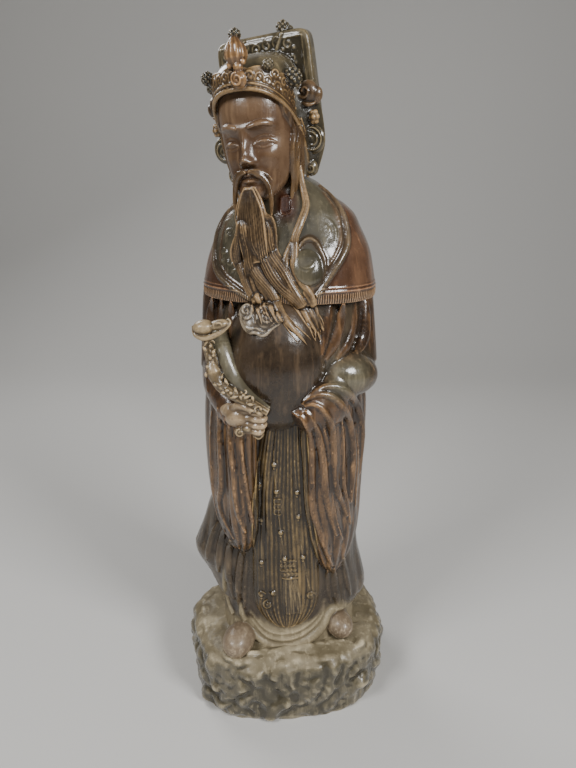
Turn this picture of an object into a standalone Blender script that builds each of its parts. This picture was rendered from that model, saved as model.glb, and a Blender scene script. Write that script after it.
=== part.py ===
"""Standing immortal figure of glazed stoneware, fired in one piece with the rock it stands on.

Lengths are metres, +Z is up, the figure's front faces -Y and the origin is under the middle of the rock.
The figure's free form is written in parts: hundredths of the whole work's height as it was modelled,
counted up from the underside of the rock, so that the figure keeps its pose at any size.
"""

import math

import bmesh
import bpy
import numpy as np
from mathutils import Euler, Vector, noise
from mathutils.bvhtree import BVHTree

FIGURE_HEIGHT = 0.671  # from the top of the rock to the top of the crown
ROCK_HEIGHT = 0.079  # to the middle of the rock's upper face
ROCK_WIDTH = 0.247
ROCK_DEPTH = 0.198
ROCK_SUNK = 0.006  # how far the block is modelled below the floor before it is cut level
ROCK_EDGE_ROUND = 0.014  # how far the rock's upper edge is rounded over
CARVING_GRAIN = 0.0025  # the finest form that the fused body keeps
FACE_COUNT = 9400  # triangles of the finished solid
GLAZE = ("glaze", (0.16, 0.085, 0.04, 1.0), 0.28, 0.0)  # name, colour, roughness, metallic

ROCK_TOP_PARTS = 10.5  # where the rock's top lies in the figure's parts
FIGURE_PARTS = 89.5  # the figure's own height in parts
PART = FIGURE_HEIGHT / FIGURE_PARTS
FAR = 60.0  # where rays start, outside the figure, in parts


class Clay:
    """Closed shapes pressed together, kept as points and faces until they are fused."""

    def __init__(self):
        self.points = []
        self.faces = []

    def add(self, points, faces):
        start = len(self.points)
        self.points.extend(tuple(map(float, p)) for p in points)
        self.faces.extend(tuple(start + i for i in face) for face in faces)

    def take(self, other):
        self.add(other.points, other.faces)

    def surface(self):
        return BVHTree.FromPolygons(self.points, self.faces)


def through(rows, count):
    """count rows spaced evenly along a smooth curve through the given rows."""
    rows = np.asarray(rows, float)
    padded = np.vstack([2 * rows[0] - rows[1], rows, 2 * rows[-1] - rows[-2]])
    fine = []
    for i in range(1, len(padded) - 2):
        a, b, c, d = padded[i - 1 : i + 3]
        for t in np.linspace(0, 1, 16, endpoint=False):
            fine.append(
                0.5 * (2 * b + (c - a) * t + (2 * a - 5 * b + 4 * c - d) * t**2
                       + (3 * b - a - 3 * c + d) * t**3)
            )
    fine = np.array(fine + [rows[-1]])
    steps = np.linalg.norm(np.diff(fine[:, :3], axis=0), axis=1)
    along = np.concatenate([[0], np.cumsum(steps)])
    wanted = np.linspace(0, along[-1], count)
    return np.column_stack([np.interp(wanted, along, fine[:, k]) for k in range(fine.shape[1])])


def loft(clay, rings):
    """Skins rings of equal point count into a closed shape, with a fan at each end."""
    rings = np.asarray(rings, float)
    count, around, _ = rings.shape
    points = list(rings.reshape(-1, 3)) + [rings[0].mean(0), rings[-1].mean(0)]
    faces = []
    for i in range(count - 1):
        for j in range(around):
            k = (j + 1) % around
            faces.append((i * around + j, i * around + k, (i + 1) * around + k, (i + 1) * around + j))
    low, high = count * around, count * around + 1
    top = (count - 1) * around
    for j in range(around):
        k = (j + 1) % around
        faces.append((low, k, j))
        faces.append((high, top + j, top + k))
    clay.add(points, faces)


def oval(z, middle, half_width, front, back, yaw=0.0, around=64, square=2.2):
    """A level ring, wider or deeper by its three radii; yaw in degrees turns it to the viewer's left."""
    angle = np.linspace(0, 2 * math.pi, around, endpoint=False)
    s, c = np.sin(angle), np.cos(angle)
    bulge = (np.abs(s) ** square + np.abs(c) ** square) ** (-1 / square)
    x = half_width * s * bulge
    y = -np.where(c > 0, front, back) * c * bulge
    turn = math.radians(-yaw)
    return np.column_stack(
        [
            middle[0] + x * math.cos(turn) - y * math.sin(turn),
            middle[1] + x * math.sin(turn) + y * math.cos(turn),
            np.full(around, float(z)),
        ]
    )


def blob(clay, middle, radii, turn=(0, 0, 0)):
    """An ellipsoid; turn is in degrees about X, Y and Z."""
    around = int(min(150, max(10, 24 * max(radii))))
    matrix = np.array(Euler([math.radians(a) for a in turn]).to_matrix())
    rings = []
    for rise in np.linspace(-math.pi / 2, math.pi / 2, 2 + around // 2)[1:-1]:
        ring = [
            (math.cos(rise) * math.sin(a), math.cos(rise) * math.cos(a), math.sin(rise))
            for a in np.linspace(0, 2 * math.pi, around, endpoint=False)
        ]
        rings.append(np.array(ring) * radii @ matrix.T + middle)
    loft(clay, rings)


def tube(clay, path, widths, thick=1.0, facing=None, strands=0, groove=0.07):
    """A strand along a smooth path. widths are its half widths from end to end; thick is its depth against
    its width, measured along facing, a direction or one for each point of the path. strands cuts its skin into that
    many threads,
    each groove times its width deep."""
    path = np.asarray(path, float)
    reach = np.linalg.norm(np.diff(path, axis=0), axis=1).sum()
    count = int(max(8, 2 * len(widths), reach / max(0.12, 0.3 * max(widths))))
    rows = path
    if facing is not None and np.ndim(facing) == 2:
        rows = np.hstack([path, facing])
    rows = through(rows, count)
    line = rows[:, :3]
    run = np.gradient(line, axis=0)
    run /= np.linalg.norm(run, axis=1)[:, None]
    if rows.shape[1] == 6:
        out = rows[:, 3:]
    else:
        out = np.tile(np.asarray(facing if facing is not None else (0.13, -1.0, 0.29), float), (count, 1))
    out = out - (out * run).sum(1)[:, None] * run
    out /= np.linalg.norm(out, axis=1)[:, None] + 1e-9
    side = np.cross(run, out)
    half = np.interp(np.linspace(0, 1, count), np.linspace(0, 1, len(widths)), widths)
    around = int(min(110, max(8, 22 * max(widths), 6 * strands)))
    angle = np.linspace(0, 2 * math.pi, around, endpoint=False)
    rings = []
    for i in range(count):
        cut = 1 + groove * np.cos(strands * angle + math.sin(0.3 * i)) if strands else np.ones(around)
        across, deep = half[i] * cut * np.cos(angle), thick * half[i] * cut * np.sin(angle)
        rings.append(line[i] + np.outer(across, side[i]) + np.outer(deep, out[i]))
    loft(clay, rings)


def seen_from_front(surface, x, z):
    """Where a line from the front first meets the clay, and the way the clay faces there."""
    point, normal, _, _ = surface.ray_cast(Vector((x, -FAR, z)), Vector((0, 1, 0)))
    return point, normal


def seen_from_side(surface, angle, z, middle=(0.0, 0.0)):
    """The same for a level line towards the figure's middle; angle in degrees, 0 in front and 90 at +X."""
    a = math.radians(angle)
    outward = Vector((math.sin(a), -math.cos(a), 0))
    origin = Vector((middle[0], middle[1], z)) + FAR * outward
    point, normal, _, _ = surface.ray_cast(origin, -outward)
    return point, normal


def laid(surface, route, count, look=seen_from_front, lift=0.0, ease=2):
    """A route of (x, z) or (angle, z) pairs laid on the clay: its points and the directions they face."""
    flat = through([(a, z, 0.0) for a, z in route], count)
    points, facings = [], []
    for a, z, _ in flat:
        point, normal = look(surface, a, z)
        if point is None:
            continue
        normal = normal if (normal.x * point.x + normal.y * point.y + normal.z * 0.2 > 0) else -normal
        points.append(np.array(point))
        facings.append(np.array(normal))
    points, facings = np.array(points), np.array(facings)
    for _ in range(ease if len(points) > 2 else 0):
        points[1:-1] = 0.5 * points[1:-1] + 0.25 * (points[:-2] + points[2:])
        facings[1:-1] = 0.5 * facings[1:-1] + 0.25 * (facings[:-2] + facings[2:])
    if len(points):
        facings /= np.linalg.norm(facings, axis=1)[:, None]
        points = points + lift * facings
    return points, facings


def ridge(clay, surface, route, widths, thick=0.8, look=seen_from_front, lift=0.0, ease=2):
    """A raised line of clay that follows the surface; nothing where no clay lies below the line."""
    flat = np.asarray(route, float)
    step = 0.5 if max(widths) > 0.35 else 0.2
    count = int(max(8, np.linalg.norm(np.diff(flat, axis=0), axis=1).sum() / step))
    points, facings = laid(surface, route, min(count, 90), look, lift, ease)
    if len(points) > 1:
        tube(clay, points, widths, thick, facings)


def rock():
    """The rock, in metres: a wide rounded block with a knobbly side wall."""
    clay = Clay()
    around, yaw = 120, math.radians(11)
    shoulder = 1 - ROCK_EDGE_ROUND / ROCK_HEIGHT
    inward = 1 - 2 * ROCK_EDGE_ROUND / ROCK_WIDTH
    levels = [
        (0.0, 0.955),
        (0.04, 0.975),
        (0.14, 0.992),
        (0.35, 1.0),
        (0.6, 1.0),
        (shoulder, 0.5 + 0.5 * (0.3 * inward + 0.7)),
        (0.5 * (1 + shoulder), 0.5 + 0.5 * (0.7 * inward + 0.3)),
        (1.0, inward),
    ]
    rings = []
    for share, spread in through([(a, b, 0.0) for a, b in levels], 26)[:, :2]:
        ring = []
        for a in np.linspace(0, 2 * math.pi, around, endpoint=False):
            s, c = math.sin(a), -math.cos(a)
            square = (abs(s) ** 2.6 + abs(c) ** 2.6) ** (-1 / 2.6)
            lobe = 1 + 0.02 * math.sin(3 * a + 0.9) + 0.012 * math.sin(5 * a - 0.4)
            reach = square * lobe * spread
            x, y = 0.5 * ROCK_WIDTH * reach * s, 0.5 * ROCK_DEPTH * reach * c
            height = share * ROCK_HEIGHT
            knob = noise.noise(Vector((x * 42, y * 42, height * 55))) + 0.5 * noise.noise(
                Vector((x * 95 + 7, y * 95, height * 100))
            )
            wall = math.sin(math.pi * min(1.0, max(0.0, 0.08 + share))) ** 0.5 if share < 0.92 else 0.3
            push = 1 + 0.035 * knob * wall
            ring.append(
                (
                    (x * math.cos(yaw) - y * math.sin(yaw)) * push,
                    (x * math.sin(yaw) + y * math.cos(yaw)) * push,
                    height,
                )
            )
        rings.append(np.array(ring))
    top = rings[-1]
    middle = top.mean(0)
    for inset, rise in ((0.04, 0.0), (0.1, 0.02), (0.3, 0.045), (0.6, 0.06)):
        ring = middle + (top - middle) * (1 - inset)
        ring[:, 2] = ROCK_HEIGHT * (1 + rise)
        rings.append(ring)
    rings[:0] = [[(x, y, -ROCK_SUNK) for x, y, z in rings[0]]]
    loft(clay, rings)
    return clay


ROBE = [  # height, middle x and y, half width, depth in front and behind, turn
    (10.2, 0.2, -0.2, 11.2, 8.6, 8.4, -4),
    (13.0, 0.1, -0.2, 11.0, 8.4, 8.4, -4),
    (18.0, 0.0, 0.0, 10.5, 8.0, 8.0, -3),
    (26.0, -0.1, 0.2, 9.9, 7.9, 7.6, 0),
    (36.0, -0.25, 0.2, 9.75, 8.2, 7.4, 4),
    (46.0, -0.25, 0.2, 10.0, 8.8, 7.6, 8),
    (54.0, -0.2, 0.2, 10.25, 9.4, 8.0, 10),
    (60.0, 0.0, 0.2, 10.4, 9.4, 8.0, 12),
    (66.0, 0.0, 0.2, 10.3, 8.4, 7.8, 13),
    (71.0, 0.0, 0.3, 9.6, 7.4, 7.3, 14),
    (75.0, -0.1, 0.4, 8.0, 6.2, 6.4, 15),
    (78.5, -0.3, 0.3, 5.6, 5.0, 5.0, 16),
    (81.0, -0.6, 0.0, 4.0, 4.2, 4.4, 18),
]
CAPE = [
    (66.4, 0.2, 0.2, 12.2, 9.3, 8.8, 8),
    (67.6, 0.2, 0.2, 12.3, 9.4, 8.9, 8),
    (70.5, 0.2, 0.2, 11.8, 9.0, 8.5, 9),
    (73.0, 0.3, 0.2, 11.1, 8.4, 8.0, 10),
    (75.5, 0.2, 0.2, 10.0, 7.3, 7.1, 11),
    (77.8, 0.2, 0.1, 8.7, 6.1, 6.1, 12),
    (79.7, -0.3, -0.1, 6.7, 4.9, 5.2, 14),
    (81.3, -0.6, -0.2, 4.9, 3.9, 4.4, 16),
    (82.3, -0.8, -0.2, 3.4, 3.0, 3.6, 18),
]
ELBOW = {-1: (-9.3, -0.6, 55.8), 1: (9.5, -0.8, 56.6)}
WRIST = {-1: (-6.6, -10.0, 51.0), 1: (1.2, -10.4, 50.4)}

def belly():
    clay = Clay()
    blob(clay, (-1.4, -4.9, 57.6), (7.4, 7.6, 11.0))
    return clay


def robe():
    clay = Clay()
    loft(clay, [oval(z, (x, y), w, f, b, yaw, 160) for z, x, y, w, f, b, yaw in through(ROBE, 90)])
    clay.take(belly())
    return clay


def cape():
    clay = Clay()
    loft(clay, [oval(z, (x, y), w, f, b, yaw, 160) for z, x, y, w, f, b, yaw in through(CAPE, 60)])
    return clay


def arms():
    clay = Clay()
    for side in (-1, 1):
        elbow, wrist = ELBOW[side], WRIST[side]
        shoulder = (side * 8.0, 0.4, 71.4)
        upper = (side * 9.3, 0.2, 66.0)
        tube(clay, [shoulder, upper, elbow], [2.8, 3.1, 3.7])
        middle = 0.5 * (np.array(elbow) + wrist) + (side * 0.6, -1.0, 0.8)
        tube(clay, [elbow, middle, wrist], [3.5, 3.3, 2.3])
        blob(clay, elbow, (3.5, 3.6, 3.6))
    blob(clay, (7.7, -4.4, 55.8), (5.4, 4.4, 3.6), (0, 8, 20))
    blob(clay, (4.4, -8.4, 52.4), (4.4, 3.0, 3.6), (0, 24, 25))
    return clay


def hanging_sleeve(clay, rows, toward, folds, depth, phase):
    """A wide sleeve that hangs from a forearm. rows: height, middle x and y, half length, half thickness."""
    along = np.array([toward[0], toward[1]], float)
    along /= np.linalg.norm(along)
    across = np.array([-along[1], along[0]])
    rings = []
    for z, x, y, half_long, half_thick in through(rows, 70):
        angle = np.linspace(0, 2 * math.pi, 160, endpoint=False)
        s, c = np.sin(angle), np.cos(angle)
        square = (np.abs(s) ** 2.6 + np.abs(c) ** 2.6) ** (-1 / 2.6)
        wave = depth * (np.abs(np.sin(folds * angle + phase)) - 0.6)
        u = (half_long * square + wave) * c
        v = (half_thick * square + wave) * s
        level = np.full(160, z)
        rings.append(np.column_stack([x + u * along[0] + v * across[0], y + u * along[1] + v * across[1],
                                      level]))
    loft(clay, rings)


NEAR_SLEEVE = [  # the sleeve on the sceptre's side
    (27.6, -7.2, -6.2, 1.0, 0.8),
    (29.0, -7.3, -5.9, 2.6, 1.8),
    (33.0, -7.9, -5.4, 4.6, 2.6),
    (38.0, -8.4, -4.9, 5.9, 2.8),
    (46.0, -8.6, -4.7, 6.3, 2.8),
    (53.0, -8.4, -4.4, 6.0, 2.6),
    (56.0, -8.2, -4.0, 4.6, 2.2),
]
FAR_SLEEVE = [  # the sleeve that hides its hand
    (23.4, 6.9, -6.0, 0.9, 0.8),
    (25.5, 7.1, -5.4, 2.8, 1.7),
    (30.0, 7.2, -4.8, 4.7, 2.5),
    (36.0, 6.9, -4.6, 5.8, 2.6),
    (44.0, 6.8, -4.6, 6.4, 2.7),
    (51.0, 6.5, -4.8, 6.7, 2.8),
    (55.0, 6.4, -4.6, 5.6, 2.4),
]

def sleeves():
    clay = Clay()
    hanging_sleeve(clay, NEAR_SLEEVE, (0.45, -0.89), 7, 0.3, 0.4)
    hanging_sleeve(clay, FAR_SLEEVE, (-0.65, -0.76), 7, 0.3, 0.0)
    return clay


def second_drape():
    """The shorter layer of the far sleeve, which hangs outside the long one and ends in its own point."""
    clay = Clay()
    rows = [
        (27.6, 8.9, -5.0, 0.5, 0.5),
        (29.2, 8.8, -5.0, 1.5, 0.9),
        (33.0, 8.6, -4.7, 2.4, 1.5),
        (40.0, 8.4, -4.4, 2.8, 1.9),
        (48.0, 8.2, -4.2, 2.8, 2.0),
    ]
    hanging_sleeve(clay, rows, (-0.65, -0.76), 5, 0.15, 0.6)
    return clay


FLARE = {  # the outer robe's side hems swing out above the rock: height and how far
    -1: [(17.2, 0.6), (20.5, 2.2), (23.6, 4.4), (25.0, 4.9), (27.5, 4.0), (31.0, 2.7), (35.0, 1.4),
         (42.0, 0.2)],
    1: [(14.8, 0.5), (17.0, 1.8), (19.0, 1.8), (24.0, 1.0), (30.0, 0.8), (42.0, 0.2)],
}
HEM_TURN = (-180, -88, 0, 88, 180)  # round the figure from the front
HEM_HEIGHT = (13.6, 17.2, 17.0, 14.8, 13.6)
OPEN_FRONT = 42  # degrees to each side of the middle, where the inner robe shows

def outer_robe():
    """The long outer robe, open in front, whose hem swings out at both sides."""
    clay = Clay()
    table = np.array(ROBE)
    turn = np.linspace(-180, 180, 144, endpoint=False)
    foot = np.interp(turn, HEM_TURN, HEM_HEIGHT)
    swing = {side: np.exp(-(((turn - side * 88) / 34) ** 2)) for side in (-1, 1)}
    hidden = 1.6 / (1 + np.exp((np.abs(turn) - OPEN_FRONT) / 2.5))
    rings = []
    for share in np.linspace(0, 1, 40):
        ring = []
        for i, angle in enumerate(np.radians(turn)):
            z = foot[i] + (46.0 - foot[i]) * share
            x0, y0, width, front, back, yaw = (np.interp(z, table[:, 0], table[:, k]) for k in range(1, 7))
            a = angle + math.radians(yaw)
            s, c = math.sin(a), math.cos(a)
            bulge = (abs(s) ** 2.2 + abs(c) ** 2.2) ** (-1 / 2.2)
            x, y = width * s * bulge, -(front if c > 0 else back) * c * bulge
            reach = math.hypot(x, y)
            fall = 0.16 * math.sin(9 * angle + 0.6) * (1 - share)
            out = 0.55 * min(1.0, 4 * (1 - share)) - hidden[i] + fall
            for side in (-1, 1):
                heights, amounts = zip(*FLARE[side])
                out += swing[side][i] * np.interp(z, heights, amounts)
            x, y = x * (1 + out / reach), y * (1 + out / reach)
            r = math.radians(-yaw)
            ring.append((x0 + x * math.cos(r) - y * math.sin(r), y0 + x * math.sin(r) + y * math.cos(r), z))
        rings.append(ring)
    loft(clay, rings)
    return clay


def masses():
    """The large forms, which the finer ones are then laid on."""
    figure = Clay()
    for made in (robe(), outer_robe(), cape(), arms(), sleeves(), second_drape()):
        figure.take(made)
    return figure


HEAD_PLACE = np.array((-3.4, -3.2, 87.2))
HEAD_SCALE = np.array((1.09, 1.12, 1.12))
HEAD_TURN = np.array(Euler([math.radians(a) for a in (8, 0, -21)], "XYZ").to_matrix()) @ np.array(
    Euler((0, math.radians(-5), 0)).to_matrix()
)

def on_head(points):
    """From the head's own axes, with its middle at 0 and its face towards -Y, to the figure's."""
    return np.asarray(points, float) * HEAD_SCALE @ HEAD_TURN.T + HEAD_PLACE


SPIRAL_TURNS = 1.3

def spiral(middle, size, start, turns=SPIRAL_TURNS, way=1, flat=1.0):
    """A flat scroll as (x, height) pairs, from its outer end inwards."""
    route = []
    for t in np.linspace(0, 1, 4 + int(8 * turns)):
        reach = size * (1 - 0.8 * t)
        a = math.radians(start) + way * 2 * math.pi * turns * t
        route.append((middle[0] + reach * math.cos(a), middle[1] + flat * reach * math.sin(a)))
    return route


def scroll(clay, middle, right, up, size, start=200, way=1, turns=1.2, cord=0.22):
    """A spiral cord in the plane of two directions; cord is its half width against the scroll's size."""
    middle, right, up = (np.asarray(v, float) for v in (middle, right, up))
    path = [middle + a * right + b * up for a, b in spiral((0, 0), size, start, turns, way)]
    tube(clay, path, [0.7 * cord * size, 1.1 * cord * size, 0.8 * cord * size], 1.0, np.cross(right, up))


HEAD_RINGS = [  # height, middle x and y, half width, depth in front and behind
    (-6.75, 0, -3.4, 0.9, 0.8, 1.0),
    (-6.35, 0, -3.1, 2.0, 1.6, 2.4),
    (-5.4, 0, -2.2, 2.85, 2.7, 3.6),
    (-4.2, 0, -1.2, 3.45, 3.5, 4.6),
    (-2.8, 0, -0.4, 3.95, 4.2, 5.0),
    (-1.2, 0, 0.1, 4.3, 4.7, 5.2),
    (0.6, 0, 0.3, 4.45, 5.0, 5.3),
    (2.4, 0, 0.4, 4.5, 5.15, 5.3),
    (4.2, 0, 0.5, 4.4, 4.95, 5.2),
    (5.6, 0, 0.6, 3.8, 4.3, 4.6),
    (6.6, 0, 0.7, 2.4, 2.8, 3.0),
    (7.0, 0, 0.8, 0.8, 0.9, 1.0),
]
FEATURES = [  # soft swellings and hollows of a calm, general face: x, height, reach sideways and up, how far
    (0.0, 0.1, 0.6, 1.0, 0.4),
    (0.0, -1.2, 0.52, 1.0, 0.85),
    (0.0, -2.2, 0.66, 0.55, 1.0),
    (0.0, -3.05, 0.8, 0.28, -0.2),
    (0.0, 2.6, 2.4, 1.6, 0.12),
    (0.0, -3.9, 1.6, 0.9, 0.42),
    (0.0, -3.7, 1.0, 0.2, 0.22),
    (0.0, -4.05, 1.2, 0.1, -0.3),
    (0.0, -4.4, 0.85, 0.24, 0.3),
    (0.0, -4.95, 0.9, 0.25, -0.15),
    (0.0, -5.75, 1.1, 0.7, 0.4),
]
PAIRED_FEATURES = [
    (0.66, -2.5, 0.38, 0.36, 0.5),
    (1.95, -0.4, 1.2, 0.75, -0.68),
    (1.98, -0.55, 0.8, 0.42, 0.62),
    (1.0, 1.0, 0.8, 0.34, 0.24),
    (2.1, 1.15, 1.0, 0.32, 0.34),
    (2.6, -1.9, 1.3, 1.2, 0.32),
    (1.7, -3.3, 0.5, 0.9, -0.14),
]

def head():
    """Skull, features and ears of a calm, general face, in the head's own axes."""
    clay = Clay()
    swells = FEATURES + [(side * x, *rest) for x, *rest in PAIRED_FEATURES for side in (-1, 1)]
    rings = []
    for z, x, y, width, front, back in through(HEAD_RINGS, 100):
        ring = oval(z, (x, y), width, front, back, 0, 200, 2.15)
        ahead = np.clip((-ring[:, 1] - 1.2) / 2.0, 0, 1)
        for at, level, across, tall, amount in swells:
            across_at = (ring[:, 0] - at) / across
            ring[:, 1] -= ahead * amount * np.exp(-(across_at**2) - ((z - level) / tall) ** 2)
        rings.append(ring)
    loft(clay, rings)
    surface = clay.surface()
    for side in (-1, 1):
        upper = [(side * 0.9, -0.8), (side * 1.35, -0.55), (side * 2.0, -0.45), (side * 2.7, -0.58),
                 (side * 3.15, -0.85)]
        lower = [(side * 0.95, -0.9), (side * 1.5, -1.06), (side * 2.15, -1.12), (side * 2.85, -0.98)]
        crease = [(side * 1.0, -0.2), (side * 1.6, 0.05), (side * 2.2, 0.1), (side * 3.0, -0.2)]
        ridge(clay, surface, upper, [0.08, 0.2, 0.1], 0.9)
        ridge(clay, surface, lower, [0.06, 0.14, 0.07], 0.9)
        ridge(clay, surface, crease, [0.05, 0.12, 0.06], 0.9)
        brow = [(side * 0.7, 0.98), (side * 1.4, 1.25), (side * 2.3, 1.34), (side * 3.35, 0.9)]
        ridge(clay, surface, brow, [0.18, 0.32, 0.28, 0.08], 0.55)
        blob(clay, (side * 4.2, 0.9, -0.6), (0.6, 1.4, 2.4))
    return clay


def hair():
    """Hair at the temples, the side hair before the ears, and the moustache, in the head's own axes."""
    clay = Clay()
    for side in (-1, 1):
        lobe = [(side * 3.9, -2.3, 4.0), (side * 4.3, -1.7, 2.4), (side * 4.4, -0.9, 0.2)]
        tube(clay, lobe, [0.6, 0.9, 0.15], 0.45, (side, -0.4, 0))
        lock = [(side * 4.4, 0.2, 1.5), (side * 4.4, 0.2, -1.5), (side * 4.0, -0.4, -4.2), (side * 3.4, -1.4,
                                                                                            -7.2)]
        tube(clay, lock, [0.8, 1.0, 1.1, 0.5], 0.35, (side, -0.3, 0), 12)
        path = [(side * 0.15, -5.4, -3.35), (side * 0.95, -5.2, -3.6), (side * 1.7, -4.85, -4.25)]
        path += [(side * 2.15, -4.7, -5.3), (side * 2.3, -4.9, -6.6), (side * 2.2, -5.2, -8.2)]
        tube(clay, path, [0.18, 0.36, 0.34, 0.3, 0.26, 0.1], 0.8, None, 8, 0.06)
        wisp = [(side * 0.3, -5.45, -3.3), (side * 1.2, -5.1, -3.4), (side * 2.1, -4.55, -3.95),
                (side * 2.6, -4.3, -4.7)]
        tube(clay, wisp, [0.12, 0.22, 0.16, 0.05], 0.8, None, 6, 0.06)
    tuft = [(0, -4.4, -4.9), (0, -4.6, -6.2), (0, -4.9, -8.0), (0, -4.5, -10.0), (0, -3.8, -12.0)]
    tube(clay, tuft, [0.3, 1.1, 1.5, 1.4, 0.6], 0.6, None, 16, 0.04)
    blob(clay, (0, 3.0, -2.0), (3.9, 3.0, 4.6))
    return clay


PANEL_WIDE = 5.75

def crown_panel(clay):
    """The tall board that stands up behind the cap, with small rounded corners and a raised border."""
    rings = []
    for y, inset in ((2.9, 0.4), (3.05, 0.12), (3.3, 0.0), (4.6, 0.0), (4.95, 0.15), (5.1, 0.5)):
        ring = []
        for a in np.linspace(0, 2 * math.pi, 72, endpoint=False):
            s, c = math.sin(a), math.cos(a)
            square = (abs(s) ** 10 + abs(c) ** 10) ** (-1 / 10)
            z = 5.1 + (5.0 - inset) * square * c
            half_width = PANEL_WIDE - 0.03 * (z - 2.0)
            ring.append((0.45 + (half_width - inset) * square * s, y, z))
        rings.append(ring)
    loft(clay, rings)
    for y in (2.95, 5.05):
        border = [(-4.45, y, 2.0), (-4.4, y, 9.35), (5.2, y, 9.35), (5.3, y, 2.0)]
        for start, stop in zip(border, border[1:]):
            tube(clay, [start, stop], [0.18, 0.18])
    tube(clay, [(1.7, 2.85, 7.0), (2.0, 2.8, 8.2), (2.9, 2.9, 9.9)], [0.16, 0.26, 0.18])


def diadem_at(angle, out, z):
    """A place on the band round the cap, by its angle from the front, and the direction across it there."""
    turn = math.radians(angle)
    s, c = math.sin(turn), -math.cos(turn)
    place = np.array((4.5 * out * s, 0.3 + 5.3 * out * c, z))
    across = np.array((-4.5 * c, 5.3 * s, 0.0))
    return place, across / np.linalg.norm(across)


def diadem_foot(angle):
    """The height of the diadem's lower rim, which drops down over each temple."""
    return 4.75 - 3.7 * (abs(angle) / 80) ** 2.4


def diadem(clay):
    """The band round the cap's front: it stands off the cap, with a wavy upper edge and small scrolls."""
    rings, low_rim = [], []
    for a in np.linspace(-84, 84, 141):
        low = diadem_foot(a)
        high = 6.6 - 1.5 * (abs(a) / 80) ** 2 + 0.35 * abs(math.cos(math.radians(a * 4.5)))
        section = [(0.86, low), (1.03, low - 0.1), (1.07, low + 0.6), (1.06, high - 0.5), (1.03, high),
                   (0.9, high)]
        rings.append([diadem_at(a, k, z)[0] for k, z in section])
        low_rim.append(diadem_at(a, 1.08, low)[0])
    loft(clay, rings)
    for drop, width in ((0.0, 0.28), (0.55, 0.18)):
        tube(clay, [(x, y, z + drop) for x, y, z in low_rim[::4]], [width, width])
    for a in np.arange(-66, 67, 11):
        place, _ = diadem_at(a, 1.06, diadem_foot(a) + 1.3)
        blob(clay, place, (0.42, 0.42, 0.42))


TUFTS = [  # angle round the diadem from the front, height and size of each
    (46, 6.6, 0.55),
    (80, 5.2, 0.92),
    (-56, 6.3, 0.66),
    (-76, 5.4, 0.52),
]

def crown():
    """Cap, board, diadem, tufts, the bud in front and the flaps beside the ears, in the head's own axes."""
    clay = Clay()
    rows = [
        (-2.6, 0, 0.9, 3.4, 2.0, 4.6),
        (0.0, 0, 0.6, 3.9, 3.4, 5.3),
        (4.2, 0, 0.3, 4.1, 4.5, 5.7),
        (4.9, 0, 0.3, 4.5, 5.2, 5.7),
        (6.2, 0, 0.6, 4.4, 4.9, 5.4),
        (7.4, 0, 1.1, 3.7, 4.1, 4.6),
        (8.1, 0, 1.7, 2.2, 2.4, 2.9),
        (8.3, 0, 1.8, 0.8, 0.9, 1.0),
    ]
    loft(clay, [oval(z, (x, y), w, f, b, 0, 64) for z, x, y, w, f, b in through(rows, 30)])
    crown_panel(clay)
    diadem(clay)
    blob(clay, (2.7, 3.9, 10.45), (0.82, 0.82, 0.82))
    blob(clay, (3.35, 4.1, 10.2), (0.55, 0.5, 0.45))
    front = -5.6
    blob(clay, (0.3, front, 5.6), (0.95, 0.8, 0.95))
    for x, z, r in ((-0.5, 7.0, 0.42), (0.4, 6.7, 0.56), (1.0, 7.1, 0.36)):
        blob(clay, (x, front + 0.1, z), (r, r, r))
    stalk = [(0.15, -5.0, 6.9), (0.15, -5.0, 7.7), (0.15, -5.0, 8.6), (0.15, -4.9, 9.4)]
    tube(clay, stalk, [0.8, 1.25, 1.05, 0.4])
    blob(clay, (0.1, -4.6, 9.6), (0.7, 0.7, 0.7))
    for angle, height, size in TUFTS:
        foot, _ = diadem_at(angle, 0.86, height - 0.8)
        tip, _ = diadem_at(angle, 1.12, height)
        tube(clay, [foot, tip], [0.4, 0.35])
        blob(clay, tip, (1.12 * size, 1.12 * size, 1.12 * size))
    for side in (-1, 1):
        ear_flap(clay, side)
    return clay


def ear_flap(clay, side):
    """The curved flap beside each ear, its rolled front rim, and the bosses and scroll disc on its edge."""
    sheet = [(side * 4.9, 1.2, 4.6), (side * 5.3, 1.4, 1.5), (side * 5.4, 1.5, -1.5), (side * 4.9, 1.6, -4.9)]
    tube(clay, sheet, [1.8, 2.1, 2.0, 1.0], 0.18, (side * 0.72, -0.69, 0))
    rim = [(side * 4.75, -0.35, 1.2), (side * 4.85, -0.2, -1.0), (side * 4.75, 0.3, -3.2), (side * 4.5, 1.0,
                                                                                            -5.2)]
    tube(clay, rim, [0.32, 0.32, 0.32, 0.25], 1.0, (side, 0, 0))
    blob(clay, (side * 5.7, 1.6, 3.6), (1.2, 0.9, 1.3), (0, side * 20, 0))
    blob(clay, (side * 6.5, 1.8, 3.2), (0.8, 0.7, 1.0), (0, side * 35, 0))
    blob(clay, (side * 6.3, 1.2, 1.1), (0.75, 0.5, 0.8))
    blob(clay, (side * 5.7, 1.5, -1.2), (1.6, 0.7, 1.65))
    for face in (-1, 1):
        middle = (side * 5.7, 1.5 + face * 0.55, -1.2)
        scroll(clay, middle, (face * 1.0, 0, 0), (0, 0, 1), 1.25, 60, 1, 1.4, 0.18)
    blob(clay, (side * 5.2, 1.7, -4.2), (0.8, 0.7, 1.0))


def set_head(figure):
    for made in (head(), hair(), crown()):
        figure.add(on_head(made.points), made.faces)
    neck = on_head([(0, 1.0, -4.0)])[0]
    tube(figure, [(-0.4, 0.6, 75.0), (-1.4, -0.6, 80.0), neck], [4.0, 3.4, 3.6])


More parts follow.
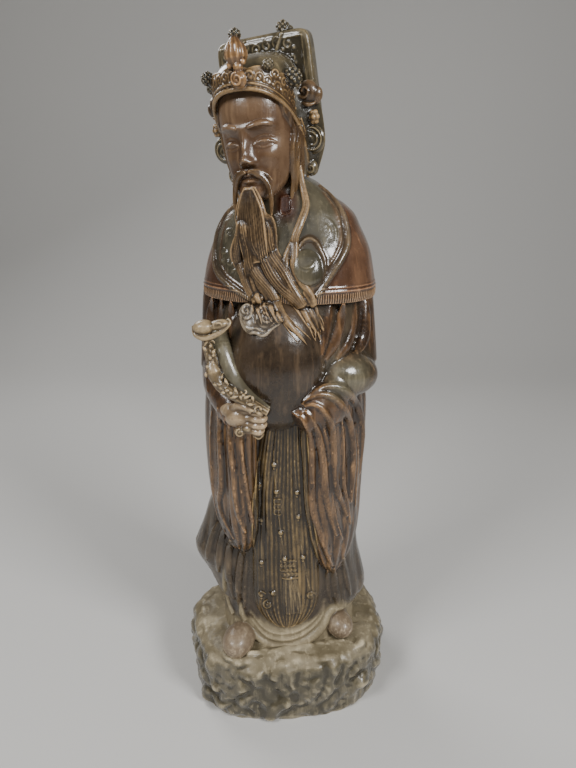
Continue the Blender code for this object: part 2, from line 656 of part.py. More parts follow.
COLLAR = {  # the cape's open edges down the chest, as x and height
    1: [
        (4.1, 81.1), (5.6, 79.9), (6.9, 78.2), (7.6, 76.2), (7.8, 74.2),
        (7.2, 72.6), (5.9, 70.7), (4.8, 69.0), (3.7, 67.4),
    ],
    -1: [
        (-6.9, 78.8), (-8.6, 77.2), (-9.7, 75.0), (-10.0, 72.7), (-9.9, 70.8),
        (-9.1, 69.5), (-7.6, 68.5), (-5.9, 67.5), (-4.9, 66.9),
    ],
}
LAPEL_CLOUD = (2.6, 71.2)  # the middle of the raised cloud on the far lapel, as x and height

def collar(figure, surface):
    """The cape's rolled open edges, and the cloud relief on the lapels inside them."""
    for side, route in COLLAR.items():
        ridge(figure, surface, route, [0.34, 0.45, 0.45, 0.36], 0.9)
        inner = [(x - side * 0.95, z + 0.3) for x, z in route[1:]]
        ridge(figure, surface, inner, [0.12, 0.18, 0.12], 0.9)
    lobe = Clay()
    blob(lobe, np.array(seen_from_front(surface, *LAPEL_CLOUD)[0]) + (0, 0.1, 0), (2.0, 0.75, 2.4),
         (-20, 0, 10))
    figure.take(lobe)
    raised = Clay()
    raised.take(lobe)
    raised.take(cape())
    front = raised.surface()
    ridge(figure, front, [(3.3, 74.3), (4.5, 72.6), (4.7, 70.6), (3.9, 69.0), (2.6, 68.5)],
          [0.24, 0.34, 0.24])
    ridge(figure, front, [(1.2, 73.2), (1.9, 74.4), (2.9, 74.8), (3.8, 74.1), (4.3, 72.9)],
          [0.24, 0.4, 0.24], 1.0)
    for x, z, size, start in ((-7.9, 75.0, 0.62, 60), (-8.5, 72.9, 0.55, 200), (-7.6, 71.5, 0.6, 120)):
        ridge(figure, surface, spiral((x, z), size, start, 1.2), [0.18, 0.26, 0.18], 0.9)


BEARD = [  # half width, where across the chin the lock starts, then its route as x, height and depth
    (0.7, -2.0, [(-6.0, 76.4, -8.5), (-6.35, 74.2, -7.6), (-6.3, 71.5, -7), (-5.8, 69.4, -7),
                 (-4.6, 67.5, -7),
                 (-3.8, 65.9, -7), (-3.6, 64.4, -7)]),
    (0.9, -1.3, [(-5.4, 76.2, -9.0), (-5.1, 74.0, -8.3), (-4.5, 71.6, -8), (-3.5, 69.6, -8), (-2.0, 67.4, -8),
                 (-0.3, 65.0, -8), (1.2, 62.9, -8), (2.4, 61.5, -8)]),
    (1.05, -0.3, [(-4.3, 76.0, -9.4), (-3.8, 73.6, -8.8), (-2.6, 71.2, -8), (-0.8, 69.0, -8), (1.2, 66.8, -8),
                  (2.9, 64.4, -8), (4.2, 62.4, -8)]),
    (0.95, 0.9, [(-3.0, 76.2, -9.0), (-2.5, 74.1, -8.5), (-1.9, 72.2, -8), (-0.6, 70.2, -8), (1.0, 67.9, -8),
                 (2.6, 65.4, -8), (3.7, 63.9, -8)]),
    (0.6, -0.9, [(-4.9, 75.8, -9.3), (-4.9, 73.4, -8.4), (-4.9, 71.0, -8), (-4.6, 68.6, -8), (-3.6, 66.8, -8),
                 (-2.9, 65.8, -8)]),
    (0.75, -0.6, [(-4.6, 75.6, -9.0), (-4.5, 73.2, -8.4), (-4.0, 70.8, -8), (-3.4, 68.6, -8),
                  (-2.4, 66.4, -8),
                  (-1.0, 64.4, -8)]),
    (0.5, 1.7, [(-2.2, 77.0, -8.4), (-1.8, 75.0, -7.9), (-1.4, 72.8, -8), (0.0, 70.6, -8), (1.6, 68.6, -8)]),
    (0.5, None, [(0.9, 75.6, -7.8), (0.1, 73.2, -8), (-0.2, 71.2, -8), (0.2, 69.4, -8), (1.5, 66.9, -8),
                 (3.1, 63.8, -8), (3.4, 63.0, -8)]),
    (0.55, None, [(1.4, 83.8, -4.4), (1.9, 80.9, -5.0), (2.3, 78.7, -6.2), (1.6, 76.6, -7.4), (0.8, 74.4, -8),
                  (0.7, 72.1, -8), (1.4, 70.0, -8), (2.8, 67.6, -8), (4.1, 64.6, -8), (5.0, 61.6, -8),
                  (5.1, 60.6, -8)]),
    (0.4, None, [(2.2, 68.2, -8), (3.4, 65.6, -8), (4.3, 62.9, -8), (4.4, 61.6, -8)]),
    (0.65, None, [(2.9, 83.9, -2.8), (3.3, 81.8, -3.6), (3.6, 78.3, -5.8), (3.6, 75.8, -7.2),
                  (3.5, 74.4, -8)]),
    (0.34, None, [(-1.9, 83.6, -7.4), (-1.6, 82.2, -8.0), (-1.5, 80.9, -8.0)]),
    (0.32, None, [(-1.1, 83.9, -7.0), (-0.8, 82.6, -7.5), (-0.9, 81.4, -7.4)]),
    (0.32, None, [(-0.3, 84.2, -6.4), (0.0, 82.9, -6.9), (0.1, 81.6, -6.6)]),
]

def free_lock(figure, surface, route, widths, thick=0.6, lift=0.15, strands=0):
    """A lock that hangs clear of the body where its own depth says so, and lies on it elsewhere."""
    rows = through([(x, z, y) for x, z, y in route], 8 * len(route))
    points, facings = [], []
    for x, z, y in rows:
        point, normal = seen_from_front(surface, x, z)
        if point is not None and point.y - lift < y:
            points.append((x, point.y - lift, z))
            facings.append(np.array(normal if normal.y < 0 else -normal))
        else:
            points.append((x, y, z))
            facings.append(np.array((0.0, -1.0, 0.2)))
    points, facings = np.array(points), np.array(facings)
    for _ in range(4):
        points[1:-1] = 0.5 * points[1:-1] + 0.25 * (points[:-2] + points[2:])
        facings[1:-1] = 0.5 * facings[1:-1] + 0.25 * (facings[:-2] + facings[2:])
    for i, (x, _, z) in enumerate(points):
        point, _ = seen_from_front(surface, x, z)
        if point is not None:
            points[i, 1] = min(points[i, 1], point.y - lift)
    tube(figure, points, widths, thick, facings, strands)


def beard(figure, surface):
    core = [(-4.6, 79.6, -6.7), (-4.5, 77.0, -6.9), (-4.4, 74.5, -6.8), (-3.9, 71.5, -7.2)]
    free_lock(figure, surface, core, [1.2, 1.8, 1.7, 0.9], 1.0, 0.0)
    for width, across, route in BEARD:
        start = 0.5
        if across is not None:
            roots = on_head([(0.3 * across, -4.9, -5.0), (0.7 * across, -5.4, -6.4), (0.85 * across, -5.8,
                                                                                      -8.0)])
            route = [(x, z, y) for x, y, z in roots] + route
            start = 0.3
        widths = [start * width, 0.85 * width, width, width, 0.9 * width, 0.7 * width, 0.2 * width]
        free_lock(figure, surface, route, widths, 0.8, 0.1 + 0.1 * width)


def pendant(figure, base):
    """The cloud-shaped clasp on the chest: a rounded body under two scrolls, with a lobed lower edge."""
    surface = base.surface()
    plate = Clay()
    for x, z, r in ((-5.1, 65.3, 1.35), (-2.9, 65.0, 1.6), (-4.0, 64.4, 1.75), (-6.7, 65.4, 0.6),
                    (-1.4, 64.9, 0.8)):
        point, normal = seen_from_front(surface, x, z)
        tilt = math.degrees(math.asin(max(-1.0, min(1.0, normal.z))))
        blob(plate, np.array(point), (r, 0.7, r), (tilt, 0, 0))
    figure.take(plate)
    under = Clay()
    under.take(base)
    under.take(plate)
    raised = under.surface()
    scrolls = (((-5.4, 65.7), 0.9, 250, 1), ((-2.8, 65.3), 1.25, 200, -1), ((-6.8, 65.5), 0.5, 90, 1))
    for middle, size, start, way in scrolls:
        ridge(figure, raised, spiral(middle, size, start, 1.5, way), [0.17, 0.25, 0.16], 0.95, ease=1)
    rim = [(-6.4, 65.1), (-6.2, 64.2), (-5.5, 63.3), (-4.8, 63.1), (-4.2, 63.3), (-3.4, 62.8), (-2.7, 63.1),
           (-2.0, 63.8), (-1.1, 64.3)]
    ridge(figure, raised, rim, [0.16, 0.26, 0.26, 0.16], 0.95)
    ridge(figure, raised, [(x + 0.08, z + 0.55) for x, z in rim], [0.08, 0.13, 0.13, 0.08], 0.95)
    blob(figure, np.array(seen_from_front(raised, -3.9, 67.1)[0]) + (0, -0.3, 0), (0.6, 0.5, 0.6))


STEM = [  # the sceptre's stem, from inside its head to the fist
    (-10.4, -10.1, 63.8),
    (-10.5, -9.8, 62.4),
    (-10.5, -9.9, 60.9),
    (-10.1, -10.1, 59.2),
    (-9.7, -10.4, 57.3),
    (-8.8, -11.1, 55.9),
    (-6.7, -12.0, 54.8),
    (-4.5, -12.7, 53.8),
    (-2.6, -13.0, 52.9),
]

def sceptre(figure):
    """The sceptre: a smooth cloud head, a carved and knotted stem, and the plain band it lies against."""
    blob(figure, (-10.95, -10.4, 63.75), (1.4, 1.2, 0.98), (0, -8, 0))
    blob(figure, (-9.0, -10.3, 64.05), (1.5, 0.95, 0.68), (0, -12, 0))
    scroll(figure, (-8.95, -11.1, 64.15), (1, 0, 0.2), (-0.1, -0.35, 0.95), 0.62, 120, 1, 1.5, 0.3)
    lip = [(-12.3, -10.2, 63.9), (-12.0, -10.8, 62.9), (-11.0, -11.1, 62.45), (-9.7, -11.1, 62.7),
           (-8.4, -10.9, 63.4)]
    lip += [(-7.5, -10.5, 64.3), (-7.8, -10.2, 64.9)]
    tube(figure, lip, [0.22, 0.32, 0.36, 0.36, 0.32, 0.26, 0.14], 0.9, (0, -1, 0.4))
    tube(figure, STEM, [0.6, 0.7, 0.9, 1.0, 1.0, 1.0, 0.85, 0.75, 0.55], 0.95, (0.1, -1, 0.4))
    bulb = [(-10.1, -10.4, 59.0), (-9.9, -10.7, 58.0), (-9.5, -10.9, 56.9), (-8.9, -11.3, 55.9)]
    tube(figure, bulb, [0.75, 1.25, 1.15, 0.7], 0.9, (0.1, -1, 0.4))
    rows = through(STEM, 12)
    for i, place in enumerate(rows[1:-1]):
        way = 1 if i % 2 else -1
        blob(figure, place + (0.35 * way, -0.5, 0.2 * way), (0.55, 0.5, 0.5))
    plain = [(-9.3, -5.5, 62.8), (-8.9, -8.3, 60.6), (-7.5, -9.8, 57.0), (-5.4, -11.4, 54.6),
             (-2.7, -12.5, 52.9)]
    tube(figure, plain, [1.0, 1.3, 1.4, 1.1, 0.7], 0.85, (0.3, -1, 0.5))
    for x, z in ((-6.4, 49.9), (-4.0, 49.5)):
        blob(figure, (x, -12.4, z), (0.85, 0.7, 0.7))
    tube(figure, [(-6.3, -12.2, 50.1), (-5.2, -12.6, 50.4), (-4.1, -12.5, 49.8)], [0.4, 0.5, 0.35])


def hand(figure):
    """The right hand: a fist closed round the sceptre, with short fingers that point across the body."""
    blob(figure, (-6.5, -11.0, 51.6), (2.2, 1.6, 1.65), (0, -8, -20))
    tube(figure, [(-8.4, -8.6, 52.6), (-7.8, -9.9, 52.3), (-6.8, -10.8, 51.8)], [1.5, 1.55, 1.5])
    for z, reach in ((52.8, -0.2), (51.85, 0.05), (50.95, 0.0), (50.1, -0.35)):
        knuckle = (-5.1, -12.4, z)
        path = [(-6.6, -11.8, z - 0.1), knuckle, (-4.2, -13.0, z), (-3.4 + reach, -13.0, z), (-3.1 + reach,
                                                                                              -12.2, z)]
        tube(figure, path, [0.48, 0.52, 0.49, 0.46, 0.4])
        blob(figure, (-3.35 + reach, -13.2, z + 0.05), (0.3, 0.24, 0.28))
    thumb = [(-7.3, -11.2, 52.8), (-6.5, -12.1, 53.5), (-5.5, -12.8, 53.5), (-4.7, -13.1, 53.1)]
    tube(figure, thumb, [0.62, 0.58, 0.5, 0.4])


FAR_FOLDS = [  # creases that fan from the hidden hand and fall down the sleeve: half width, then x and height
    (0.90, [(1.9, 53.4), (3.8, 55.3), (6.2, 55.5), (7.9, 54.6), (9.7, 51.4), (10.8, 48.0), (11.1, 43.8),
            (10.9, 39.0)]),
    (0.90, [(2.1, 53.8), (3.2, 54.7), (5.4, 54.6), (7.3, 52.8), (8.7, 49.2), (9.4, 45.4), (9.6, 42.8),
            (9.6, 39.2), (9.5, 35.5)]),
    (0.88, [(2.2, 53.3), (2.9, 53.8), (4.5, 53.1), (5.8, 50.6), (6.3, 46.8), (6.6, 42.5), (6.9, 39.4),
            (7.8, 36.8), (9.0, 33.4)]),
    (0.85, [(2.2, 52.7), (3.2, 51.6), (4.1, 48.8), (4.9, 44.6), (5.4, 39.3), (6.2, 35.1), (7.3, 31.0)]),
    (0.78, [(1.6, 52.2), (2.3, 50.9), (3.2, 47.8), (3.4, 41.3), (3.6, 36.4), (4.7, 32.3), (5.6, 29.4),
            (6.9, 25.0)]),
    (0.62, [(7.5, 50.2), (7.8, 46.6), (8.0, 42.8), (8.2, 39.0), (9.0, 35.0), (9.6, 31.5)]),
    (0.56, [(4.9, 49.6), (5.6, 46.0), (5.9, 41.5), (6.3, 37.6), (7.2, 33.4), (8.3, 29.6)]),
    (0.53, [(10.0, 47.0), (10.3, 43.0), (10.2, 38.5), (10.4, 34.0)]),
]
NEAR_FOLDS = [
    (0.6, [(-11.0, 50.2), (-11.3, 45.0), (-11.3, 39.5), (-11.1, 34.6), (-10.2, 31.6), (-8.6, 30.3),
           (-7.1, 29.7)]),
    (0.8, [(-9.5, 52.6), (-9.6, 48.0), (-9.5, 44.0), (-9.6, 39.4), (-10.1, 36.9), (-9.5, 34.1),
           (-8.0, 30.9)]),
    (0.6, [(-6.4, 47.8), (-6.3, 43.7), (-5.8, 38.7), (-5.2, 33.6), (-5.3, 30.4)]),
    (0.75, [(-8.1, 51.0), (-8.0, 46.7), (-7.7, 42.6), (-7.5, 38.3), (-6.9, 34.6), (-6.3, 32.4)]),
]
ARM_FOLDS = [
    (0.6, [(5.6, 66.2), (5.2, 63.5), (4.7, 61.2), (4.5, 59.6)]),
    (0.75, [(7.3, 66.4), (7.1, 63.3), (6.3, 60.9), (5.0, 58.9)]),
    (0.8, [(9.2, 66.2), (9.2, 62.7), (8.3, 60.0), (6.6, 58.6)]),
    (0.75, [(11.0, 65.8), (11.2, 62.6), (10.8, 60.2), (9.5, 58.8)]),
    (0.7, [(-10.4, 66.5), (-11, 64.3), (-11.2, 61.5), (-11.2, 57.6), (-11.1, 54.0)]),
    (0.7, [(-9, 66.7), (-9.5, 64.5), (-9.7, 61), (-9.6, 57.3)]),
    (0.6, [(-7.6, 66.4), (-7.8, 64.3), (-7.7, 61.6)]),
]
SKIRT_FOLDS = [
    (0.55, [(-9.6, 32.1), (-10.8, 26.3), (-11.2, 22)]),
    (0.6, [(-8.6, 30.3), (-9.5, 24.6), (-9.2, 19.9), (-8.8, 17.4)]),
    (0.6, [(-6.9, 28.5), (-7.9, 21.8), (-8, 16.3)]),
    (0.4, [(-6.3, 27.0), (-6.9, 21.0), (-7.0, 16.4)]),
    (0.5, [(-11.0, 31.0), (-12.6, 26.5), (-13.0, 23.5)]),
    (0.55, [(8.6, 26.0), (9.4, 21.0), (10.2, 17.6)]),
    (0.55, [(7.2, 24.5), (7.4, 20.0), (8.2, 16.4)]),
    (0.4, [(6.2, 24.0), (6.4, 20.0), (7.0, 17.2)]),
]
BACK_FOLDS = [  # half width, then the angle round the figure from the front, and height
    (0.7, [(122, 62), (126, 50), (124, 36), (120, 24), (118, 17)]),
    (0.7, [(146, 64), (150, 48), (148, 32), (144, 20), (142, 14)]),
    (0.7, [(172, 64), (170, 46), (174, 30), (172, 16)]),
    (0.7, [(-162, 64), (-164, 48), (-160, 30), (-158, 16)]),
    (0.7, [(-136, 63), (-140, 48), (-136, 32), (-132, 20), (-130, 14)]),
    (0.7, [(-112, 60), (-116, 46), (-114, 32), (-112, 22)]),
]

def folds(clay, surface, table, thick, look=seen_from_front):
    """Lays every fold of a table on the surface, thickest below its middle."""
    for width, route in table:
        widths = [0.45 * width, width, 1.1 * width, 1.1 * width, 0.5 * width]
        ridge(clay, surface, route, widths, thick, look, 0.0, 8)


APRON = [  # height, left edge, right edge
    (50.6, -3.2, 2.6),
    (47.5, -3.8, 2.9),
    (42.0, -4.6, 3.4),
    (36.4, -5.3, 3.9),
    (29.5, -5.5, 4.6),
    (22.0, -5.6, 4.9),
    (18.3, -5.3, 4.7),
    (16.2, -4.2, 3.7),
    (14.9, -2.6, 2.2),
    (14.5, -1.2, 0.8),
]
APRON_PLEATS = 15

def apron(figure, surface):
    """The pleated panel that hangs down the middle of the front, thickened forwards from the robe."""
    rings = []
    across = 113
    for z, left, right in through(APRON, 80):
        front, back = [], []
        for share in np.linspace(0, 1, across):
            x = left + (right - left) * share
            point, _ = seen_from_front(surface, x, min(z, 47.0))
            drift = 0.05 * math.sin(0.45 * z + 9 * share)
            pleat = math.pi * APRON_PLEATS * (share + 0.1 * drift)
            wave = 0.15 * abs(math.sin(pleat)) + 0.07 * math.sin(31 * share + 0.2 * z)
            edge = 0.45 * math.exp(-min(share, 1 - share) * (right - left) / 0.35)
            front.append((x, point.y - 0.5 - wave + edge, z))
            back.append((x, point.y + 1.2, z))
        rings.append(front + back[::-1])
    rings = np.array(rings)
    for _ in range(2):
        rings[1:-1, :, 1] = 0.5 * rings[1:-1, :, 1] + 0.25 * (rings[:-2, :, 1] + rings[2:, :, 1])
    loft(figure, rings)


BEAD_STRINGS = (  # x and height of each bead down a string
    [(-2.0, 45.5), (-2.0, 43.2), (-1.7, 38.7), (-1.1, 31.7), (-0.5, 27.0)],
    [(-4.0, 43.0), (-4.3, 39.5), (-4.0, 33.5), (-4.1, 25.9), (-4.2, 20.1)],
    [(0.9, 44.0), (1.3, 38.6), (1.5, 34.4), (2.3, 27.1), (3.6, 20.1)],
)

def beads(figure, surface):
    """The strings of beads, the knotted plaque and the tassel that lie on the apron."""
    for route in BEAD_STRINGS:
        ridge(figure, surface, route, [0.16, 0.16], 1.0)
        for x, z in route[1:]:
            blob(figure, np.array(seen_from_front(surface, x, z)[0]), (0.5, 0.45, 0.5))
    for z in (37.1, 35.6):
        blob(figure, np.array(seen_from_front(surface, -1.5, z)[0]), (0.6, 0.4, 0.5))
    for z in (26.1, 24.7):
        for x in (-0.7, 0.65):
            blob(figure, np.array(seen_from_front(surface, x, z)[0]), (0.6, 0.4, 0.55))
    for x, z in ((-4.1, 20.2), (-2.4, 20.7), (-3.2, 18.5), (3.6, 19.9)):
        blob(figure, np.array(seen_from_front(surface, x, z)[0]), (0.6, 0.45, 0.6))
    ridge(figure, surface, [(-0.9, 23.4), (0.3, 23.3), (1.5, 23.4)], [0.2, 0.3, 0.2], 1.0)
    for share in np.linspace(-1, 1, 5):
        top, foot = (0.3 + 0.9 * share, 23.2), (0.75 + 1.25 * share, 16.9)
        ridge(figure, surface, [top, (0.55 + 1.2 * share, 20.0), foot], [0.14, 0.22, 0.16], 1.0)


HEM = [  # the robes' lowest roll, as x and height
    (-8.6, 13.5),
    (-6.6, 13.6),
    (-5.3, 12.2),
    (-3.6, 10.9),
    (-1.4, 10.4),
    (1.2, 10.7),
    (3.4, 11.7),
    (5.6, 13.4),
    (6.4, 15.4),
    (7.9, 16.3),
    (9.6, 15.6),
]

def hem(figure, surface):
    """The thick rolled hems of the layered robes below the apron."""
    ridge(figure, surface, HEM, [0.4, 0.6, 0.75, 0.7, 0.45], 0.8, lift=0.1, ease=6)
    for rise, width in ((1.5, 0.34), (2.6, 0.26)):
        upper = [(0.92 * x, z + rise) for x, z in HEM[1:-2]]
        ridge(figure, surface, upper, [0.15, width, width, 0.15], 0.7, ease=6)
    for route in ([(-9.8, 24), (-10.4, 19), (-9.9, 15.2), (-8.9, 14.2)], [(-7.7, 17.0), (-7.5, 15.0),
                                                                          (-6.9, 14.2)]):
        ridge(figure, surface, route, [0.3, 0.5, 0.5], 0.8, ease=6)


SHOES = (((-7.9, -8.9, 12.1), (2.5, 3.2, 2.3), -18), ((8.2, -5.8, 12.9), (2.2, 3.1, 2.1), 30))

def shoes():
    """The round upturned toes of two shoes."""
    figure = Clay()
    for middle, radii, turn in SHOES:
        blob(figure, middle, radii, (0, 0, turn))
    return figure


def sculpt():
    """The whole figure in parts."""
    figure = masses()
    surface = figure.surface()
    folds(figure, surface, FAR_FOLDS, 0.8)
    folds(figure, surface, NEAR_FOLDS, 0.9)
    folds(figure, surface, ARM_FOLDS, 0.45)
    folds(figure, surface, SKIRT_FOLDS, 0.8)
    folds(figure, surface, BACK_FOLDS, 0.7, seen_from_side)
    collar(figure, surface)
    panel = Clay()
    apron(panel, surface)
    beads(figure, panel.surface())
    figure.take(panel)
    hem(figure, surface)
    figure.take(shoes())
    sceptre(figure)
    hand(figure)
    both = masses()
    clasp = Clay()
    pendant(clasp, both)
    both.take(clasp)
    figure.take(clasp)
    beard(figure, both.surface())
    set_head(figure)
    return figure


def largest_shell(mesh):
    """Leaves only the connected surface with the most points."""
    ends = np.empty(2 * len(mesh.edges), np.int32)
    mesh.edges.foreach_get("vertices", ends)
    ends = ends.reshape(-1, 2)
    label = np.arange(len(mesh.vertices))
    while True:
        low = np.minimum(label[ends[:, 0]], label[ends[:, 1]])
        fresh = label.copy()
        np.minimum.at(fresh, ends[:, 0], low)
        np.minimum.at(fresh, ends[:, 1], low)
        fresh = fresh[fresh]
        if np.array_equal(fresh, label):
            break
        label = fresh
    names, counts = np.unique(label, return_counts=True)
    keep = label == names[np.argmax(counts)]
    if keep.all():
        return
    shape = bmesh.new()
    shape.from_mesh(mesh)
    shape.verts.ensure_lookup_table()
    bmesh.ops.delete(shape, geom=[v for v in shape.verts if not keep[v.index]], context="VERTS")
    shape.to_mesh(mesh)
    shape.free()


def cut_level(mesh):
    """Cuts the underside flat at the floor and closes it with one face."""
    shape = bmesh.new()
    shape.from_mesh(mesh)
    everything = shape.verts[:] + shape.edges[:] + shape.faces[:]
    cut = bmesh.ops.bisect_plane(shape, geom=everything, plane_co=(0, 0, 0), plane_no=(0, 0, 1),
                                 clear_inner=True)
    rim = [e for e in cut["geom_cut"] if isinstance(e, bmesh.types.BMEdge)]
    bmesh.ops.contextual_create(shape, geom=rim)
    bmesh.ops.recalc_face_normals(shape, faces=shape.faces[:])
    bmesh.ops.triangulate(shape, faces=shape.faces[:])
    shape.to_mesh(mesh)
    shape.free()


def baked(body):
    """The body with its modifiers worked into its mesh."""
    graph = bpy.context.evaluated_depsgraph_get()
    mesh = bpy.data.meshes.new_from_object(body.evaluated_get(graph))
    body.modifiers.clear()
    body.data = mesh
    return mesh


def main():
    for old in list(bpy.data.objects):
        bpy.data.objects.remove(old)
    figure = sculpt()
    points = np.array(figure.points)
    points[:, 2] -= ROCK_TOP_PARTS
    points *= PART
    points[:, 2] += ROCK_HEIGHT
    whole = Clay()
    whole.add(points, figure.faces)
    whole.take(rock())
    mesh = bpy.data.meshes.new("immortal_figure")
    mesh.from_pydata(whole.points, [], whole.faces)
    body = bpy.data.objects.new("immortal_figure", mesh)
    bpy.context.scene.collection.objects.link(body)
    fuse = body.modifiers.new("fuse", "REMESH")
    fuse.mode = "VOXEL"
    fuse.voxel_size = CARVING_GRAIN
    mesh = baked(body)
    largest_shell(mesh)
    ease = body.modifiers.new("ease", "SMOOTH")
    ease.factor = 0.5
    ease.iterations = 1
    facets = 2 * len(mesh.polygons)
    if FACE_COUNT < facets:
        thin = body.modifiers.new("thin", "DECIMATE")
        thin.ratio = FACE_COUNT / facets
        thin.use_collapse_triangulate = True
    mesh = baked(body)
    cut_level(mesh)
    for face in mesh.polygons:
        face.use_smooth = False
    name, colour, roughness, metallic = GLAZE
    glaze = bpy.data.materials.new(name)
    glaze.diffuse_color = colour
    glaze.use_nodes = True
    shader = glaze.node_tree.nodes["Principled BSDF"]
    shader.inputs["Base Color"].default_value = colour
    shader.inputs["Roughness"].default_value = roughness
    shader.inputs["Metallic"].default_value = metallic
    mesh.materials.clear()
    mesh.materials.append(glaze)
    return body


main()
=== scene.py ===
"""Glazed stoneware immortal figure on its rock: the finely carved surface, its glaze, and a plain studio."""

import math

import bmesh
import bpy
import numpy as np
from mathutils import Euler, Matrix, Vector, noise
from mathutils.bvhtree import BVHTree


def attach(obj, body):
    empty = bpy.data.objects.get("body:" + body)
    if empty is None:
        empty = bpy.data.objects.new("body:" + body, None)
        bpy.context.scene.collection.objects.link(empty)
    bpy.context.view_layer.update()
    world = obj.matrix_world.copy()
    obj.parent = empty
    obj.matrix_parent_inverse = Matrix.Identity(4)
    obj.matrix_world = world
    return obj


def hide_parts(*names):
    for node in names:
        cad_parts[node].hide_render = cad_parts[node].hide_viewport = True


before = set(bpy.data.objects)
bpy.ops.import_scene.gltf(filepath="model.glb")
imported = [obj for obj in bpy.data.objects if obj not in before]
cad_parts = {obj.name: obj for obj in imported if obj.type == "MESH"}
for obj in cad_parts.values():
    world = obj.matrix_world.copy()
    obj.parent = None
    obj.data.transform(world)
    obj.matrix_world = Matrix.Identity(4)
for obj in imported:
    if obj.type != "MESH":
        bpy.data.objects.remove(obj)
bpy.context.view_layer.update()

FIGURE_HEIGHT = 0.671  # from the top of the rock to the top of the crown, in metres
ROCK_HEIGHT = 0.079
ROCK_WIDTH = 0.247
ROCK_DEPTH = 0.198
ROCK_EDGE_ROUND = 0.014
ROCK_TOP_PARTS = 10.5  # the figure's form is written in parts, counted up from the underside of the rock
FIGURE_PARTS = 89.5
PART = FIGURE_HEIGHT / FIGURE_PARTS
FAR = 60.0  # outside every form, in parts: where lines of sight start
SUNK = 0.006  # how far the block of the rock starts below the floor, in metres, before its foot is cut level
FORWARD = (0.13, -1.0, 0.29)  # what a strand's depth is measured along where no direction is given
SENSOR = 36  # millimetres along the picture's longer side
FOCAL_PIXELS = 585
LONG_SIDE_PIXELS = 768
EYE = (0.0, -0.63255, 0.610875)
LOOK_DOWN = 19  # degrees below level
PIECES = {  # the grain each piece is fused at, in parts, and the most triangles it keeps
    "robes": (0.15, 185000),
    "apron": (0.1, 120000),
    "cape": (0.13, 125000),
    "beard": (0.085, 120000),
    "head": (0.085, 95000),
    "crown": (0.09, 150000),
    "sceptre": (0.085, 70000),
    "rock": (0.17, 110000),
}


def camera():
    """The photograph's camera: a wide lens close to the figure, a little above its face, looking down."""
    lens = bpy.data.cameras.new("camera")
    lens.lens = SENSOR * FOCAL_PIXELS / LONG_SIDE_PIXELS
    lens.sensor_width = SENSOR
    lens.clip_start = 0.01
    eye = bpy.data.objects.new("camera", lens)
    eye.location = EYE
    eye.rotation_euler = (math.radians(90 - LOOK_DOWN), 0.0, 0.0)
    bpy.context.scene.collection.objects.link(eye)
    bpy.context.scene.camera = eye


camera()


class Clay:
    """Closed shapes pressed together, kept as points and faces until they are fused."""

    def __init__(self):
        self.points = []
        self.faces = []

    def add(self, points, faces):
        start = len(self.points)
        self.points.extend(tuple(map(float, p)) for p in points)
        self.faces.extend(tuple(start + i for i in face) for face in faces)

    def take(self, other):
        self.add(other.points, other.faces)

    def surface(self):
        return BVHTree.FromPolygons(self.points, self.faces)


def through(rows, count):
    """count rows spaced evenly along a smooth curve through the given rows."""
    rows = np.asarray(rows, float)
    padded = np.vstack([2 * rows[0] - rows[1], rows, 2 * rows[-1] - rows[-2]])
    fine = []
    for i in range(1, len(padded) - 2):
        a, b, c, d = padded[i - 1 : i + 3]
        for t in np.linspace(0, 1, 16, endpoint=False):
            bend = 2 * b + (c - a) * t + (2 * a - 5 * b + 4 * c - d) * t**2 + (3 * b - a - 3 * c + d) * t**3
            fine.append(0.5 * bend)
    fine = np.array(fine + [rows[-1]])
    steps = np.linalg.norm(np.diff(fine[:, :3], axis=0), axis=1)
    along = np.concatenate([[0], np.cumsum(steps)])
    wanted = np.linspace(0, along[-1], count)
    return np.column_stack([np.interp(wanted, along, fine[:, k]) for k in range(fine.shape[1])])


def loft(clay, rings):
    """Skins rings of equal point count into a closed shape, with a fan at each end."""
    rings = np.asarray(rings, float)
    count, around, _ = rings.shape
    points = list(rings.reshape(-1, 3)) + [rings[0].mean(0), rings[-1].mean(0)]
    faces = []
    for i in range(count - 1):
        for j in range(around):
            k = (j + 1) % around
            faces.append((i * around + j, i * around + k, (i + 1) * around + k, (i + 1) * around + j))
    low, high = count * around, count * around + 1
    top = (count - 1) * around
    for j in range(around):
        k = (j + 1) % around
        faces.append((low, k, j))
        faces.append((high, top + j, top + k))
    clay.add(points, faces)


def squarish(s, c, power):
    """How far out a rounded square lies against a circle, at a sine and cosine. A power of 2 is a circle."""
    return (abs(s) ** power + abs(c) ** power) ** (-1 / power)


def oval(z, middle, half_width, front, back, yaw=0.0, around=64, square=2.2):
    """A level ring, wider or deeper by its three radii; yaw in degrees turns it to the viewer's left."""
    angle = np.linspace(0, 2 * math.pi, around, endpoint=False)
    s, c = np.sin(angle), np.cos(angle)
    bulge = squarish(s, c, square)
    x = half_width * s * bulge
    y = -np.where(c > 0, front, back) * c * bulge
    turn = math.radians(-yaw)
    across = middle[0] + x * math.cos(turn) - y * math.sin(turn)
    deep = middle[1] + x * math.sin(turn) + y * math.cos(turn)
    return np.column_stack([across, deep, np.full(around, float(z))])


def turning(degrees):
    """The matrix of turns about X, Y and Z."""
    return np.array(Euler([math.radians(a) for a in degrees]).to_matrix())


def blob(clay, middle, radii, turn=(0, 0, 0)):
    """An ellipsoid; turn is in degrees about X, Y and Z."""
    around = int(min(150, max(10, 24 * max(radii))))
    matrix = turning(turn)
    rings = []
    for rise in np.linspace(-math.pi / 2, math.pi / 2, 2 + around // 2)[1:-1]:
        ring = [
            (math.cos(rise) * math.sin(a), math.cos(rise) * math.cos(a), math.sin(rise))
            for a in np.linspace(0, 2 * math.pi, around, endpoint=False)
        ]
        rings.append(np.array(ring) * radii @ matrix.T + middle)
    loft(clay, rings)


